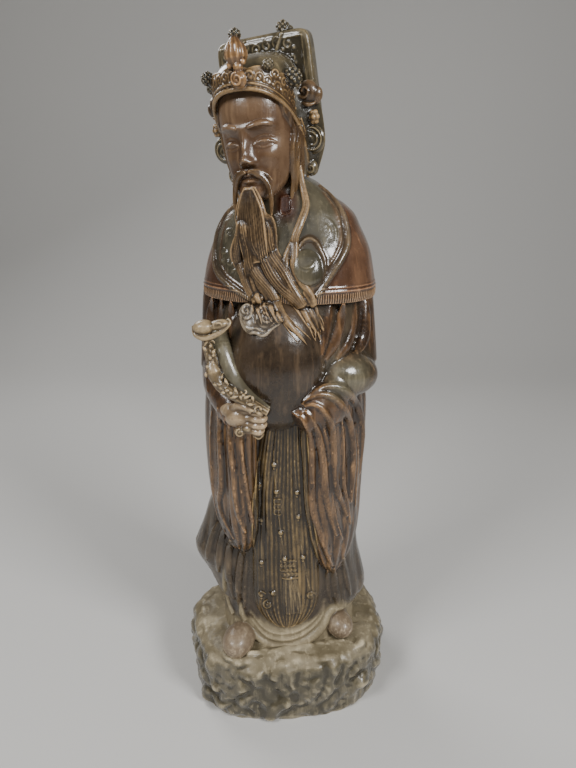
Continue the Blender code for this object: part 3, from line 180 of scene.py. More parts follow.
def tube(clay, path, widths, thick=1.0, facing=None, strands=0, groove=0.07):
    """A strand along a smooth path. widths are its half widths from end to end. thick is its depth against
    its width, measured along facing, which is one direction or one for each point of the path. strands
    cuts its skin into that many threads, each groove times its width deep."""
    path = np.asarray(path, float)
    reach = np.linalg.norm(np.diff(path, axis=0), axis=1).sum()
    count = int(max(8, 2 * len(widths), reach / max(0.12, 0.3 * max(widths))))
    rows = path
    if facing is not None and np.ndim(facing) == 2:
        rows = np.hstack([path, facing])
    rows = through(rows, count)
    line = rows[:, :3]
    run = np.gradient(line, axis=0)
    run /= np.linalg.norm(run, axis=1)[:, None]
    if rows.shape[1] == 6:
        out = rows[:, 3:]
    else:
        out = np.tile(np.asarray(FORWARD if facing is None else facing, float), (count, 1))
    out = out - (out * run).sum(1)[:, None] * run
    out /= np.linalg.norm(out, axis=1)[:, None] + 1e-9
    side = np.cross(run, out)
    half = np.interp(np.linspace(0, 1, count), np.linspace(0, 1, len(widths)), widths)
    around = int(min(110, max(8, 22 * max(widths), 6 * strands)))
    angle = np.linspace(0, 2 * math.pi, around, endpoint=False)
    rings = []
    for i in range(count):
        twist = strands * angle + math.sin(0.3 * i) + 0.8 * math.sin(0.11 * i + strands)
        cut = 1 + groove * np.cos(twist) if strands else np.ones(around)
        across, deep = half[i] * cut * np.cos(angle), thick * half[i] * cut * np.sin(angle)
        rings.append(line[i] + np.outer(across, side[i]) + np.outer(deep, out[i]))
    loft(clay, rings)


def seen_from_front(surface, x, z):
    """Where a line from the front first meets the clay, and the way the clay faces there."""
    point, normal, _, _ = surface.ray_cast(Vector((x, -FAR, z)), Vector((0, 1, 0)))
    return point, normal


def seen_from_side(surface, angle, z):
    """The same for a level line towards the figure's middle; angle in degrees, 0 in front and 90 at +X."""
    a = math.radians(angle)
    outward = Vector((math.sin(a), -math.cos(a), 0))
    origin = Vector((0.0, 0.0, z)) + FAR * outward
    point, normal, _, _ = surface.ray_cast(origin, -outward)
    return point, normal


def spot(surface, x, z):
    """The point of the clay that is seen from the front at x and height z."""
    return np.array(seen_from_front(surface, x, z)[0])


def eased(rows, rounds):
    """Draws each row but the first and last towards its neighbours, in place."""
    for _ in range(rounds):
        rows[1:-1] = 0.5 * rows[1:-1] + 0.25 * (rows[:-2] + rows[2:])


def laid(surface, route, count, look=seen_from_front, lift=0.0, ease=2):
    """A route of (x, z) or (angle, z) pairs laid on the clay: its points and the directions they face."""
    flat = through([(a, z, 0.0) for a, z in route], count)
    points, facings = [], []
    for a, z, _ in flat:
        point, normal = look(surface, a, z)
        if point is None:
            continue
        normal = normal if (normal.x * point.x + normal.y * point.y + normal.z * 0.2 > 0) else -normal
        points.append(np.array(point))
        facings.append(np.array(normal))
    points, facings = np.array(points), np.array(facings)
    if len(points) > 2:
        eased(points, ease)
        eased(facings, ease)
    if len(points):
        facings /= np.linalg.norm(facings, axis=1)[:, None]
        points = points + lift * facings
    return points, facings


def ridge(clay, surface, route, widths, thick=0.8, look=seen_from_front, lift=0.0, ease=2):
    """A raised line of clay that follows the surface; nothing where no clay lies below the line."""
    flat = np.asarray(route, float)
    step = 0.5 if max(widths) > 0.35 else 0.2
    count = int(max(8, np.linalg.norm(np.diff(flat, axis=0), axis=1).sum() / step))
    points, facings = laid(surface, route, min(count, 90), look, lift, ease)
    if len(points) > 1:
        tube(clay, points, widths, thick, facings)


def rock():
    """The rock, in metres: a wide rounded block with a knobbly side wall."""
    clay = Clay()
    around, yaw = 120, math.radians(11)
    shoulder = 1 - ROCK_EDGE_ROUND / ROCK_HEIGHT
    inward = 1 - 2 * ROCK_EDGE_ROUND / ROCK_WIDTH
    levels = [
        (0.0, 0.955),
        (0.04, 0.975),
        (0.14, 0.992),
        (0.35, 1.0),
        (0.6, 1.0),
        (shoulder, 0.5 + 0.5 * (0.3 * inward + 0.7)),
        (0.5 * (1 + shoulder), 0.5 + 0.5 * (0.7 * inward + 0.3)),
        (1.0, inward),
    ]
    rings = []
    for share, spread in through([(a, b, 0.0) for a, b in levels], 26)[:, :2]:
        ring = []
        for a in np.linspace(0, 2 * math.pi, around, endpoint=False):
            s, c = math.sin(a), -math.cos(a)
            square = squarish(s, c, 2.6)
            lobe = 1 + 0.02 * math.sin(3 * a + 0.9) + 0.012 * math.sin(5 * a - 0.4)
            reach = square * lobe * spread
            x, y = 0.5 * ROCK_WIDTH * reach * s, 0.5 * ROCK_DEPTH * reach * c
            height = share * ROCK_HEIGHT
            knob = noise.noise(Vector((x * 42, y * 42, height * 55)))
            knob += 0.5 * noise.noise(Vector((x * 95 + 7, y * 95, height * 100)))
            wall = math.sin(math.pi * min(1.0, max(0.0, 0.08 + share))) ** 0.5 if share < 0.92 else 0.3
            push = 1 + 0.035 * knob * wall
            across = x * math.cos(yaw) - y * math.sin(yaw)
            deep = x * math.sin(yaw) + y * math.cos(yaw)
            ring.append((across * push, deep * push, height))
        rings.append(np.array(ring))
    top = rings[-1]
    middle = top.mean(0)
    for inset, rise in ((0.04, 0.0), (0.1, 0.02), (0.3, 0.045), (0.6, 0.06)):
        ring = middle + (top - middle) * (1 - inset)
        ring[:, 2] = ROCK_HEIGHT * (1 + rise)
        rings.append(ring)
    rings[:0] = [[(x, y, -SUNK) for x, y, z in rings[0]]]
    loft(clay, rings)
    return clay


ROBE = [  # height, middle x and y, half width, depth in front and behind, turn
    (10.2, 0.2, -0.2, 11.2, 8.6, 8.4, -4),
    (13.0, 0.1, -0.2, 11.0, 8.4, 8.4, -4),
    (18.0, 0.0, 0.0, 10.5, 8.0, 8.0, -3),
    (26.0, -0.1, 0.2, 9.9, 7.9, 7.6, 0),
    (36.0, -0.25, 0.2, 9.75, 8.2, 7.4, 4),
    (46.0, -0.25, 0.2, 10.0, 8.8, 7.6, 8),
    (54.0, -0.2, 0.2, 10.25, 9.4, 8.0, 10),
    (60.0, 0.0, 0.2, 10.4, 9.4, 8.0, 12),
    (66.0, 0.0, 0.2, 10.3, 8.4, 7.8, 13),
    (71.0, 0.0, 0.3, 9.6, 7.4, 7.3, 14),
    (75.0, -0.1, 0.4, 8.0, 6.2, 6.4, 15),
    (78.5, -0.3, 0.3, 5.6, 5.0, 5.0, 16),
    (81.0, -0.6, 0.0, 4.0, 4.2, 4.4, 18),
]
CAPE = [
    (66.4, 0.2, 0.2, 12.2, 9.3, 8.8, 8),
    (67.6, 0.2, 0.2, 12.3, 9.4, 8.9, 8),
    (70.5, 0.2, 0.2, 11.8, 9.0, 8.5, 9),
    (73.0, 0.3, 0.2, 11.1, 8.4, 8.0, 10),
    (75.5, 0.2, 0.2, 10.0, 7.3, 7.1, 11),
    (77.8, 0.2, 0.1, 8.7, 6.1, 6.1, 12),
    (79.7, -0.3, -0.1, 6.7, 4.9, 5.2, 14),
    (81.3, -0.6, -0.2, 4.9, 3.9, 4.4, 16),
    (82.3, -0.8, -0.2, 3.4, 3.0, 3.6, 18),
]
ELBOW = {-1: (-9.3, -0.6, 55.8), 1: (9.5, -0.8, 56.6)}
WRIST = {-1: (-6.6, -10.0, 51.0), 1: (1.2, -10.4, 50.4)}


def belly():
    clay = Clay()
    blob(clay, (-1.4, -4.9, 57.6), (7.4, 7.6, 11.0))
    return clay


def robe():
    clay = Clay()
    loft(clay, [oval(z, (x, y), w, f, b, yaw, 160) for z, x, y, w, f, b, yaw in through(ROBE, 90)])
    clay.take(belly())
    return clay


def cape():
    clay = Clay()
    loft(clay, [oval(z, (x, y), w, f, b, yaw, 160) for z, x, y, w, f, b, yaw in through(CAPE, 60)])
    return clay


def arms():
    clay = Clay()
    for side in (-1, 1):
        elbow, wrist = ELBOW[side], WRIST[side]
        shoulder = (side * 8.0, 0.4, 71.4)
        upper = (side * 9.3, 0.2, 66.0)
        tube(clay, [shoulder, upper, elbow], [2.8, 3.1, 3.7])
        middle = 0.5 * (np.array(elbow) + wrist) + (side * 0.6, -1.0, 0.8)
        tube(clay, [elbow, middle, wrist], [3.5, 3.3, 2.3])
        blob(clay, elbow, (3.5, 3.6, 3.6))
    blob(clay, (7.7, -4.4, 55.8), (5.4, 4.4, 3.6), (0, 8, 20))
    blob(clay, (4.4, -8.4, 52.4), (4.4, 3.0, 3.6), (0, 24, 25))
    return clay


def hanging_sleeve(clay, rows, toward, folds, depth, phase):
    """A wide sleeve that hangs from a forearm. rows: height, middle x and y, half length, half thickness."""
    along = np.array([toward[0], toward[1]], float)
    along /= np.linalg.norm(along)
    across = np.array([-along[1], along[0]])
    rings = []
    for z, x, y, half_long, half_thick in through(rows, 70):
        angle = np.linspace(0, 2 * math.pi, 160, endpoint=False)
        s, c = np.sin(angle), np.cos(angle)
        square = squarish(s, c, 2.6)
        wave = depth * (np.abs(np.sin(folds * angle + phase)) - 0.6)
        u = (half_long * square + wave) * c
        v = (half_thick * square + wave) * s
        level = np.full(160, z)
        out_x = x + u * along[0] + v * across[0]
        out_y = y + u * along[1] + v * across[1]
        rings.append(np.column_stack([out_x, out_y, level]))
    loft(clay, rings)


NEAR_SLEEVE = [  # the sleeve on the sceptre's side
    (27.6, -7.2, -6.2, 1.0, 0.8),
    (29.0, -7.3, -5.9, 2.6, 1.8),
    (33.0, -7.9, -5.4, 4.6, 2.6),
    (38.0, -8.4, -4.9, 5.9, 2.8),
    (46.0, -8.6, -4.7, 6.3, 2.8),
    (53.0, -8.4, -4.4, 6.0, 2.6),
    (56.0, -8.2, -4.0, 4.6, 2.2),
]
FAR_SLEEVE = [  # the sleeve that hides its hand
    (23.4, 6.9, -6.0, 0.9, 0.8),
    (25.5, 7.1, -5.4, 2.8, 1.7),
    (30.0, 7.2, -4.8, 4.7, 2.5),
    (36.0, 6.9, -4.6, 5.8, 2.6),
    (44.0, 6.8, -4.6, 6.4, 2.7),
    (51.0, 6.5, -4.8, 6.7, 2.8),
    (55.0, 6.4, -4.6, 5.6, 2.4),
]


def sleeves():
    clay = Clay()
    hanging_sleeve(clay, NEAR_SLEEVE, (0.45, -0.89), 7, 0.3, 0.4)
    hanging_sleeve(clay, FAR_SLEEVE, (-0.65, -0.76), 7, 0.3, 0.0)
    return clay


FLARE = {  # the outer robe's side hems swing out above the rock: height and how far
    -1: [(17.2, 0.6), (20.5, 2.2), (23.6, 4.4), (25.0, 4.9), (27.5, 4.0), (31.0, 2.7), (35.0, 1.4),
         (42.0, 0.2)],
    1: [(14.8, 0.5), (17.0, 1.8), (19.0, 1.8), (24.0, 1.0), (30.0, 0.8), (42.0, 0.2)],
}
HEM_TURN = (-180, -88, 0, 88, 180)  # round the figure from the front
HEM_HEIGHT = (13.6, 17.2, 17.0, 14.8, 13.6)
OPEN_FRONT = 42  # degrees to each side of the middle, where the inner robe shows


def outer_robe():
    """The long outer robe, open in front, whose hem swings out at both sides."""
    clay = Clay()
    table = np.array(ROBE)
    turn = np.linspace(-180, 180, 144, endpoint=False)
    foot = np.interp(turn, HEM_TURN, HEM_HEIGHT)
    swing = {side: np.exp(-(((turn - side * 88) / 34) ** 2)) for side in (-1, 1)}
    hidden = 1.6 / (1 + np.exp((np.abs(turn) - OPEN_FRONT) / 2.5))
    rings = []
    for share in np.linspace(0, 1, 40):
        ring = []
        for i, angle in enumerate(np.radians(turn)):
            z = foot[i] + (46.0 - foot[i]) * share
            x0, y0, width, front, back, yaw = (np.interp(z, table[:, 0], table[:, k]) for k in range(1, 7))
            a = angle + math.radians(yaw)
            s, c = math.sin(a), math.cos(a)
            bulge = squarish(s, c, 2.2)
            x, y = width * s * bulge, -(front if c > 0 else back) * c * bulge
            reach = math.hypot(x, y)
            fall = 0.16 * math.sin(9 * angle + 0.6) * (1 - share)
            out = 0.55 * min(1.0, 4 * (1 - share)) - hidden[i] + fall
            for side in (-1, 1):
                heights, amounts = zip(*FLARE[side])
                out += swing[side][i] * np.interp(z, heights, amounts)
            x, y = x * (1 + out / reach), y * (1 + out / reach)
            r = math.radians(-yaw)
            ring.append((x0 + x * math.cos(r) - y * math.sin(r), y0 + x * math.sin(r) + y * math.cos(r), z))
        rings.append(ring)
    loft(clay, rings)
    return clay


HEAD_PLACE = np.array((-3.4, -3.2, 87.2))
HEAD_SCALE = np.array((1.09, 1.12, 1.12))
HEAD_TURN = turning((8, 0, -21)) @ turning((0, -5, 0))


def on_head(points):
    """From the head's own axes, with its middle at 0 and its face towards -Y, to the figure's."""
    return np.asarray(points, float) * HEAD_SCALE @ HEAD_TURN.T + HEAD_PLACE


def scroll(clay, middle, right, up, size, start=200, way=1, turns=1.2, cord=0.22):
    """A spiral cord in the plane of two directions; cord is its half width against the scroll's size."""
    middle, right, up = (np.asarray(v, float) for v in (middle, right, up))
    path = [middle + a * right + b * up for a, b in spiral((0, 0), size, start, turns, way)]
    tube(clay, path, [0.7 * cord * size, 1.1 * cord * size, 0.8 * cord * size], 1.0, np.cross(right, up))


def berry(clay, middle, size, grains=34):
    """A round tuft covered in small knobs, set out along a spiral from pole to pole."""
    blob(clay, middle, (size, size, size))
    for k in range(grains):
        level = 1 - 2 * (k + 0.5) / grains
        turn = k * math.pi * (3 - math.sqrt(5))
        reach = math.sqrt(1 - level * level)
        knob = np.array(middle) + size * np.array((reach * math.cos(turn), reach * math.sin(turn), level))
        blob(clay, knob, (0.22 * size,) * 3)


HEAD_RINGS = [  # height, middle x and y, half width, depth in front and behind
    (-6.75, 0, -3.4, 0.9, 0.8, 1.0),
    (-6.35, 0, -3.1, 2.0, 1.6, 2.4),
    (-5.4, 0, -2.2, 2.85, 2.7, 3.6),
    (-4.2, 0, -1.2, 3.45, 3.5, 4.6),
    (-2.8, 0, -0.4, 3.95, 4.2, 5.0),
    (-1.2, 0, 0.1, 4.3, 4.7, 5.2),
    (0.6, 0, 0.3, 4.45, 5.0, 5.3),
    (2.4, 0, 0.4, 4.5, 5.15, 5.3),
    (4.2, 0, 0.5, 4.4, 4.95, 5.2),
    (5.6, 0, 0.6, 3.8, 4.3, 4.6),
    (6.6, 0, 0.7, 2.4, 2.8, 3.0),
    (7.0, 0, 0.8, 0.8, 0.9, 1.0),
]


FEATURES = [  # soft swellings and hollows of a calm, general face: x, height, reach sideways and up, how far
    (0.0, 0.1, 0.6, 1.0, 0.4),
    (0.0, -1.2, 0.52, 1.0, 0.85),
    (0.0, -2.2, 0.66, 0.55, 1.0),
    (0.0, -3.05, 0.8, 0.28, -0.2),
    (0.0, 2.6, 2.4, 1.6, 0.12),
    (0.0, -3.9, 1.6, 0.9, 0.42),
    (0.0, -3.7, 1.0, 0.2, 0.22),
    (0.0, -4.05, 1.2, 0.1, -0.3),
    (0.0, -4.4, 0.85, 0.24, 0.3),
    (0.0, -4.95, 0.9, 0.25, -0.15),
    (0.0, -5.75, 1.1, 0.7, 0.4),
]


PAIRED_FEATURES = [  # the same for the features that stand on both sides of the face
    (0.66, -2.5, 0.38, 0.36, 0.5),
    (1.95, -0.4, 1.2, 0.75, -0.68),
    (1.98, -0.55, 0.8, 0.42, 0.62),
    (1.0, 1.0, 0.8, 0.34, 0.24),
    (2.1, 1.15, 1.0, 0.32, 0.34),
    (2.6, -1.9, 1.3, 1.2, 0.32),
    (1.7, -3.3, 0.5, 0.9, -0.14),
]


EYE_LINES = [  # raised lines at each eye as x and height, their half widths, and their depth
    ([(0.9, -0.8), (1.35, -0.55), (2.0, -0.45), (2.7, -0.58), (3.15, -0.85)], [0.08, 0.2, 0.1], 0.9),
    ([(0.95, -0.9), (1.5, -1.06), (2.15, -1.12), (2.85, -0.98)], [0.06, 0.14, 0.07], 0.9),
    ([(1.0, -0.2), (1.6, 0.05), (2.2, 0.1), (3.0, -0.2)], [0.05, 0.12, 0.06], 0.9),
    ([(0.7, 0.98), (1.4, 1.25), (2.3, 1.34), (3.35, 0.9)], [0.18, 0.32, 0.28, 0.08], 0.55),
]


def mirrored(side, points):
    """The points as written for side 1, with x turned round for side -1."""
    return [(side * x, *rest) for x, *rest in points]


def head():
    """Skull, features and ears of a calm, general face, in the head's own axes."""
    clay = Clay()
    swells = FEATURES + [(side * x, *rest) for x, *rest in PAIRED_FEATURES for side in (-1, 1)]
    rings = []
    for z, x, y, width, front, back in through(HEAD_RINGS, 100):
        ring = oval(z, (x, y), width, front, back, 0, 200, 2.15)
        ahead = ramp(-ring[:, 1] - 1.2, 2.0)
        for at, level, across, tall, amount in swells:
            across_at = (ring[:, 0] - at) / across
            ring[:, 1] -= ahead * amount * np.exp(-(across_at**2) - ((z - level) / tall) ** 2)
        rings.append(ring)
    loft(clay, rings)
    surface = clay.surface()
    for side in (-1, 1):
        for route, widths, thick in EYE_LINES:
            ridge(clay, surface, mirrored(side, route), widths, thick)
        blob(clay, (side * 4.2, 0.9, -0.6), (0.6, 1.4, 2.4))
    return clay


def hair():
    """Hair at the temples, the side hair before the ears, and the moustache, in the head's own axes."""
    clay = Clay()
    for side in (-1, 1):
        lobe = mirrored(side, [(3.9, -2.3, 4.0), (4.3, -1.7, 2.4), (4.4, -0.9, 0.2)])
        tube(clay, lobe, [0.6, 0.9, 0.15], 0.45, (side, -0.4, 0), 9)
        for k in range(5):
            share = k / 4
            lock = [(side * 4.35, -1.2 + 0.5 * k, 1.6)]
            for z in (0.0, -1.7, -3.4, -5.2, -6.9, -8.4):
                sway = 0.22 * math.sin(0.9 * z + 1.3 * k)
                back = -1.0 + 0.42 * k + sway + 0.05 * z
                lock.append((side * (4.5 + 0.16 * z + 0.1 * k), back, z - 0.4 * share))
            tube(clay, lock, [0.25, 0.36, 0.38, 0.36, 0.3, 0.06], 0.8, (side, -0.4, 0), 4, 0.1)
        path = [(0.15, -5.4, -3.35), (0.95, -5.2, -3.6), (1.7, -4.85, -4.25)]
        path += [(2.15, -4.7, -5.3), (2.3, -4.9, -6.6), (2.2, -5.2, -8.2)]
        tube(clay, mirrored(side, path), [0.18, 0.36, 0.34, 0.3, 0.26, 0.1], 0.8, None, 8, 0.06)
        wisp = [(0.3, -5.45, -3.3), (1.2, -5.1, -3.4), (2.1, -4.55, -3.95), (2.6, -4.3, -4.7)]
        tube(clay, mirrored(side, wisp), [0.12, 0.22, 0.16, 0.05], 0.8, None, 6, 0.06)
    tuft = [(0, -4.2, -4.9), (0, -4.3, -6.2), (0, -4.3, -8.0), (0, -4.0, -10.0)]
    tube(clay, tuft, [0.3, 0.8, 0.9, 0.3], 0.5, None, 16, 0.04)
    blob(clay, (0, 3.0, -2.0), (3.9, 3.0, 4.6))
    return clay


PANEL_WIDE = 6.05  # half the width of the crown's board near its foot


def crown_panel(clay):
    """The tall board that stands up behind the cap: small rounded corners, a border and scrolls in front."""
    rings = []
    for y, inset in ((2.9, 0.4), (3.05, 0.12), (3.3, 0.0), (4.6, 0.0), (4.95, 0.15), (5.1, 0.5)):
        ring = []
        for a in np.linspace(0, 2 * math.pi, 160, endpoint=False):
            s, c = math.sin(a), math.cos(a)
            square = squarish(s, c, 10)
            z = 5.1 + (5.0 - inset) * square * c
            half_width = PANEL_WIDE - 0.03 * (z - 2.0)
            ring.append((0.15 + (half_width - inset) * square * s, y, z))
        rings.append(ring)
    loft(clay, rings)
    for y in (2.95, 5.05):
        border = [(-5.1, y, 2.0), (-5.0, y, 9.35), (5.2, y, 9.35), (5.3, y, 2.0)]
        for start, stop in zip(border, border[1:]):
            tube(clay, [start, stop], [0.15, 0.15])
    tube(clay, [(1.7, 2.85, 7.0), (2.0, 2.8, 8.2), (2.9, 2.9, 9.9)], [0.12, 0.2, 0.14])
    right, up = (1, 0, 0), (0, 0, 1)
    for row, z in enumerate((8.75, 7.3, 5.8)):
        for i, x in enumerate(np.arange(-4.3, 4.8, 1.3)):
            turn = 90 + 140 * (i % 2) + 50 * row
            scroll(clay, (x + 0.3 * (row % 2), 2.9, z + 0.2 * (i % 3)), right, up, 0.6, turn,
                   1 - 2 * (i % 2), 1.1, 0.22)
            blob(clay, (x + 0.65, 2.9, z - 0.5), (0.26, 0.16, 0.2))


def diadem_at(angle, out, z):
    """A place on the band round the cap, by its angle from the front, and the direction across it there."""
    turn = math.radians(angle)
    s, c = math.sin(turn), -math.cos(turn)
    place = np.array((4.5 * out * s, 0.3 + 5.3 * out * c, z))
    across = np.array((-4.5 * c, 5.3 * s, 0.0))
    return place, across / np.linalg.norm(across)


def diadem_foot(angle):
    """The height of the diadem's lower rim, which drops down over each temple."""
    return 4.75 - 3.7 * (abs(angle) / 80) ** 2.4


def diadem(clay):
    """The band of scrollwork round the cap's front: it stands off the cap and has a wavy upper edge."""
    rings, low_rim = [], []
    for a in np.linspace(-84, 84, 141):
        low = diadem_foot(a)
        high = 6.6 - 1.5 * (abs(a) / 80) ** 2 + 0.35 * abs(math.cos(math.radians(a * 4.5)))
        section = [(0.86, low), (1.03, low - 0.1), (1.07, low + 0.6), (1.06, high - 0.5), (1.03, high),
                   (0.9, high)]
        rings.append([diadem_at(a, k, z)[0] for k, z in section])
        low_rim.append(diadem_at(a, 1.08, low)[0])
    loft(clay, rings)
    for drop, width in ((0.0, 0.25), (0.52, 0.14)):
        tube(clay, [(x, y, z + drop) for x, y, z in low_rim[::4]], [width, width])
    for i, a in enumerate(np.arange(-77, 78, 11)):
        low = diadem_foot(a)
        for row in range(1 + int(abs(a) > 50) + int(abs(a) > 70)):
            place, across = diadem_at(a, 1.06, low + 1.25 + 1.15 * row)
            way = 1 - 2 * ((i + row) % 2)
            scroll(clay, place, across, (0, 0, 1), 0.52, 210 if way < 0 else -30, way, 1.3, 0.22)
            tip, _ = diadem_at(a + 5.5, 1.05, low + 0.85 + 1.15 * row)
            blob(clay, tip, (0.2, 0.2, 0.22))


TUFTS = [  # angle round the diadem from the front, height and size of each
    (46, 6.6, 0.55),
    (80, 5.2, 0.92),
    (-56, 6.3, 0.66),
    (-76, 5.4, 0.52),
]


def crown():
    """The crown's parts by their glaze, in the head's own axes: cap and board, diadem, tufts, bosses, bud."""
    cap, band, tufts, bud, bosses = Clay(), Clay(), Clay(), Clay(), Clay()
    rows = [
        (-2.6, 0, 0.9, 3.4, 2.0, 4.6),
        (0.0, 0, 0.6, 3.9, 3.4, 5.3),
        (4.2, 0, 0.3, 4.1, 4.5, 5.7),
        (4.9, 0, 0.3, 4.5, 5.2, 5.7),
        (6.2, 0, 0.6, 4.4, 4.9, 5.4),
        (7.4, 0, 1.1, 3.7, 4.1, 4.6),
        (8.1, 0, 1.7, 2.2, 2.4, 2.9),
        (8.3, 0, 1.8, 0.8, 0.9, 1.0),
    ]
    loft(cap, [oval(z, (x, y), w, f, b, 0, 120) for z, x, y, w, f, b in through(rows, 50)])
    crown_panel(cap)
    diadem(band)
    berry(tufts, (2.7, 3.9, 10.45), 0.7)
    blob(tufts, (3.35, 4.1, 10.2), (0.55, 0.5, 0.45))
    front = -5.6
    blob(bud, (0.8, front, 5.6), (0.9, 0.55, 0.9))
    scroll(bud, (0.8, front - 0.5, 5.6), (1, 0, 0), (0, 0, 1), 0.66, 90, 1, 1.6, 0.2)
    for x, z, r in ((0.0, 7.0, 0.4), (0.9, 6.7, 0.56), (1.5, 7.1, 0.32)):
        blob(bud, (x, front + 0.1, z), (r, r, r))
    stalk = [(0.65, -5.0, 6.9), (0.65, -5.0, 7.7), (0.65, -5.0, 8.6), (0.65, -4.9, 9.4)]
    tube(bud, stalk, [0.8, 1.25, 1.05, 0.4], 1.0, None, 11, 0.05)
    berry(tufts, (0.6, -4.6, 9.6), 0.6)
    for angle, height, size in TUFTS:
        foot, _ = diadem_at(angle, 0.86, height - 0.8)
        tip, _ = diadem_at(angle, 1.12, height)
        tube(cap, [foot, tip], [0.4, 0.35])
        berry(tufts, tip, size, 44)
    for side in (-1, 1):
        ear_flap(cap, band, bosses, side)
    return {"crown": cap, "diadem": band, "pompom": tufts, "bud": bud, "boss": bosses}


def ear_flap(cap, band, bosses, side):
    """The curved flap beside each ear, its rolled front rim, and the bosses and scroll disc on its edge."""
    sheet = mirrored(side, [(4.9, 1.2, 4.6), (5.3, 1.4, 1.5), (5.4, 1.5, -1.5), (4.9, 1.6, -4.9)])
    tube(cap, sheet, [1.8, 2.1, 2.0, 1.0], 0.18, (side * 0.72, -0.69, 0))
    rim = mirrored(side, [(4.8, -0.35, 1.2), (4.95, 0.5, -1.0), (4.9, 1.1, -3.2), (4.6, 1.5, -5.2)])
    tube(band, rim, [0.25, 0.25, 0.25, 0.2], 1.0, (side, 0, 0))
    tube(band, [(x + side * 0.25, y + 0.5, z) for x, y, z in rim], [0.13, 0.13], 1.0, (side, 0, 0))
    blob(bosses, (side * 5.7, 1.6, 3.6), (1.2, 0.9, 1.3), (0, side * 20, 0))
    blob(bosses, (side * 6.5, 1.8, 3.2), (0.8, 0.7, 1.0), (0, side * 35, 0))
    scroll(bosses, (side * 5.5, 0.75, 3.8), (side, 0, 0), (0, 0, 1), 0.85, 120, 1, 1.2, 0.2)
    under = mirrored(side, [(5.0, 0.9, 2.7), (5.9, 0.8, 2.4), (6.6, 1.2, 2.5)])
    tube(bosses, under, [0.12, 0.25, 0.12])
    for k in range(6):
        a = k * math.pi / 3
        blob(band, (side * 6.3 + 0.32 * math.cos(a), 1.2, 1.1 + 0.5 * math.sin(a)), (0.34, 0.36, 0.34))
    blob(band, (side * 6.3, 0.95, 1.1), (0.3, 0.3, 0.3))
    blob(cap, (side * 5.7, 1.5, -1.2), (1.55, 0.5, 1.6))
    for face in (-1, 1):
        middle = (side * 5.7, 1.5 + face * 0.45, -1.2)
        scroll(cap, middle, (face * 1.0, 0, 0), (0, 0, 1), 1.35, 60, 1, 2.2, 0.1)
    blob(cap, (side * 5.2, 1.7, -4.2), (0.75, 0.6, 0.95))
    scroll(cap, (side * 5.2, 1.15, -4.2), (1, 0, 0), (0, 0, 1), 0.7, 90, side, 1.2, 0.2)


COLLAR = {  # the cape's open edges down the chest, as x and height
    1: [
        (4.1, 81.1), (5.6, 79.9), (6.9, 78.2), (7.6, 76.2), (7.8, 74.2),
        (7.2, 72.6), (5.9, 70.7), (4.8, 69.0), (3.7, 67.4),
    ],
    -1: [
        (-6.9, 78.8), (-8.6, 77.2), (-9.7, 75.0), (-10.0, 72.7), (-9.9, 70.8),
        (-9.1, 69.5), (-7.6, 68.5), (-5.9, 67.5), (-4.9, 66.9),
    ],
}


def spiral(middle, size, start, turns, way=1):
    """A flat scroll as (x, height) pairs, from its outer end inwards."""
    route = []
    for t in np.linspace(0, 1, 4 + int(8 * turns)):
        reach = size * (1 - 0.8 * t)
        a = math.radians(start) + way * 2 * math.pi * turns * t
        route.append((middle[0] + reach * math.cos(a), middle[1] + reach * math.sin(a)))
    return route


def collar(trim, relief, surface):
    """The cape's rolled open edges, and the low cloud and leaf relief on the lapels inside them."""
    for side, route in COLLAR.items():
        ridge(trim, surface, route, [0.3, 0.42, 0.42, 0.34], 0.9)
        inner = [(x - side * 0.95, z + 0.3) for x, z in route[1:]]
        ridge(trim, surface, inner, [0.1, 0.15, 0.1], 0.9)
    blob(relief, spot(surface, 2.6, 71.2) + (0, 0.1, 0), (2.0, 0.75, 2.4), (-20, 0, 10))
    raised = Clay()
    raised.take(relief)
    raised.add(cape().points, cape().faces)
    front = raised.surface()
    ridge(trim, front, [(3.3, 74.3), (4.5, 72.6), (4.7, 70.6), (3.9, 69.0), (2.6, 68.5)], [0.2, 0.3, 0.2])
    for drop, width in ((0.0, 0.17), (0.45, 0.12)):
        eye = [(1.6, 71.4 - drop), (2.3, 71.1 - drop), (3.0, 71.4 - 0.6 * drop), (3.35, 71.9 - drop)]
        ridge(relief, front, eye, [0.06, width, 0.08], 1.0)
    brow = [(1.2, 73.2), (1.9, 74.4), (2.9, 74.8), (3.8, 74.1), (4.3, 72.9)]
    ridge(trim, front, brow, [0.2, 0.36, 0.2], 1.0)
    ridge(relief, surface, [(5.0, 77.2), (5.8, 76.4), (6.2, 75.3), (6.0, 74.2)], [0.05, 0.15, 0.05], 0.8)
    ridge(relief, surface, [(4.7, 76.4), (5.3, 75.8), (5.5, 75.0)], [0.05, 0.12, 0.05], 0.8)
    for x, z, size, start in ((-7.9, 75.0, 0.62, 60), (-8.5, 72.9, 0.55, 200), (-7.6, 71.5, 0.6, 120)):
        ridge(relief, surface, spiral((x, z), size, start, 1.2), [0.1, 0.17, 0.1], 0.9)
    for x, z in ((-7.3, 73.4), (-8.7, 71.4), (-8.3, 76.4), (-7.2, 70.4)):
        leaf = [(x - 0.5, z - 0.5), (x, z + 0.1), (x + 0.55, z + 0.4)]
        ridge(relief, surface, leaf, [0.08, 0.3, 0.06], 0.6)


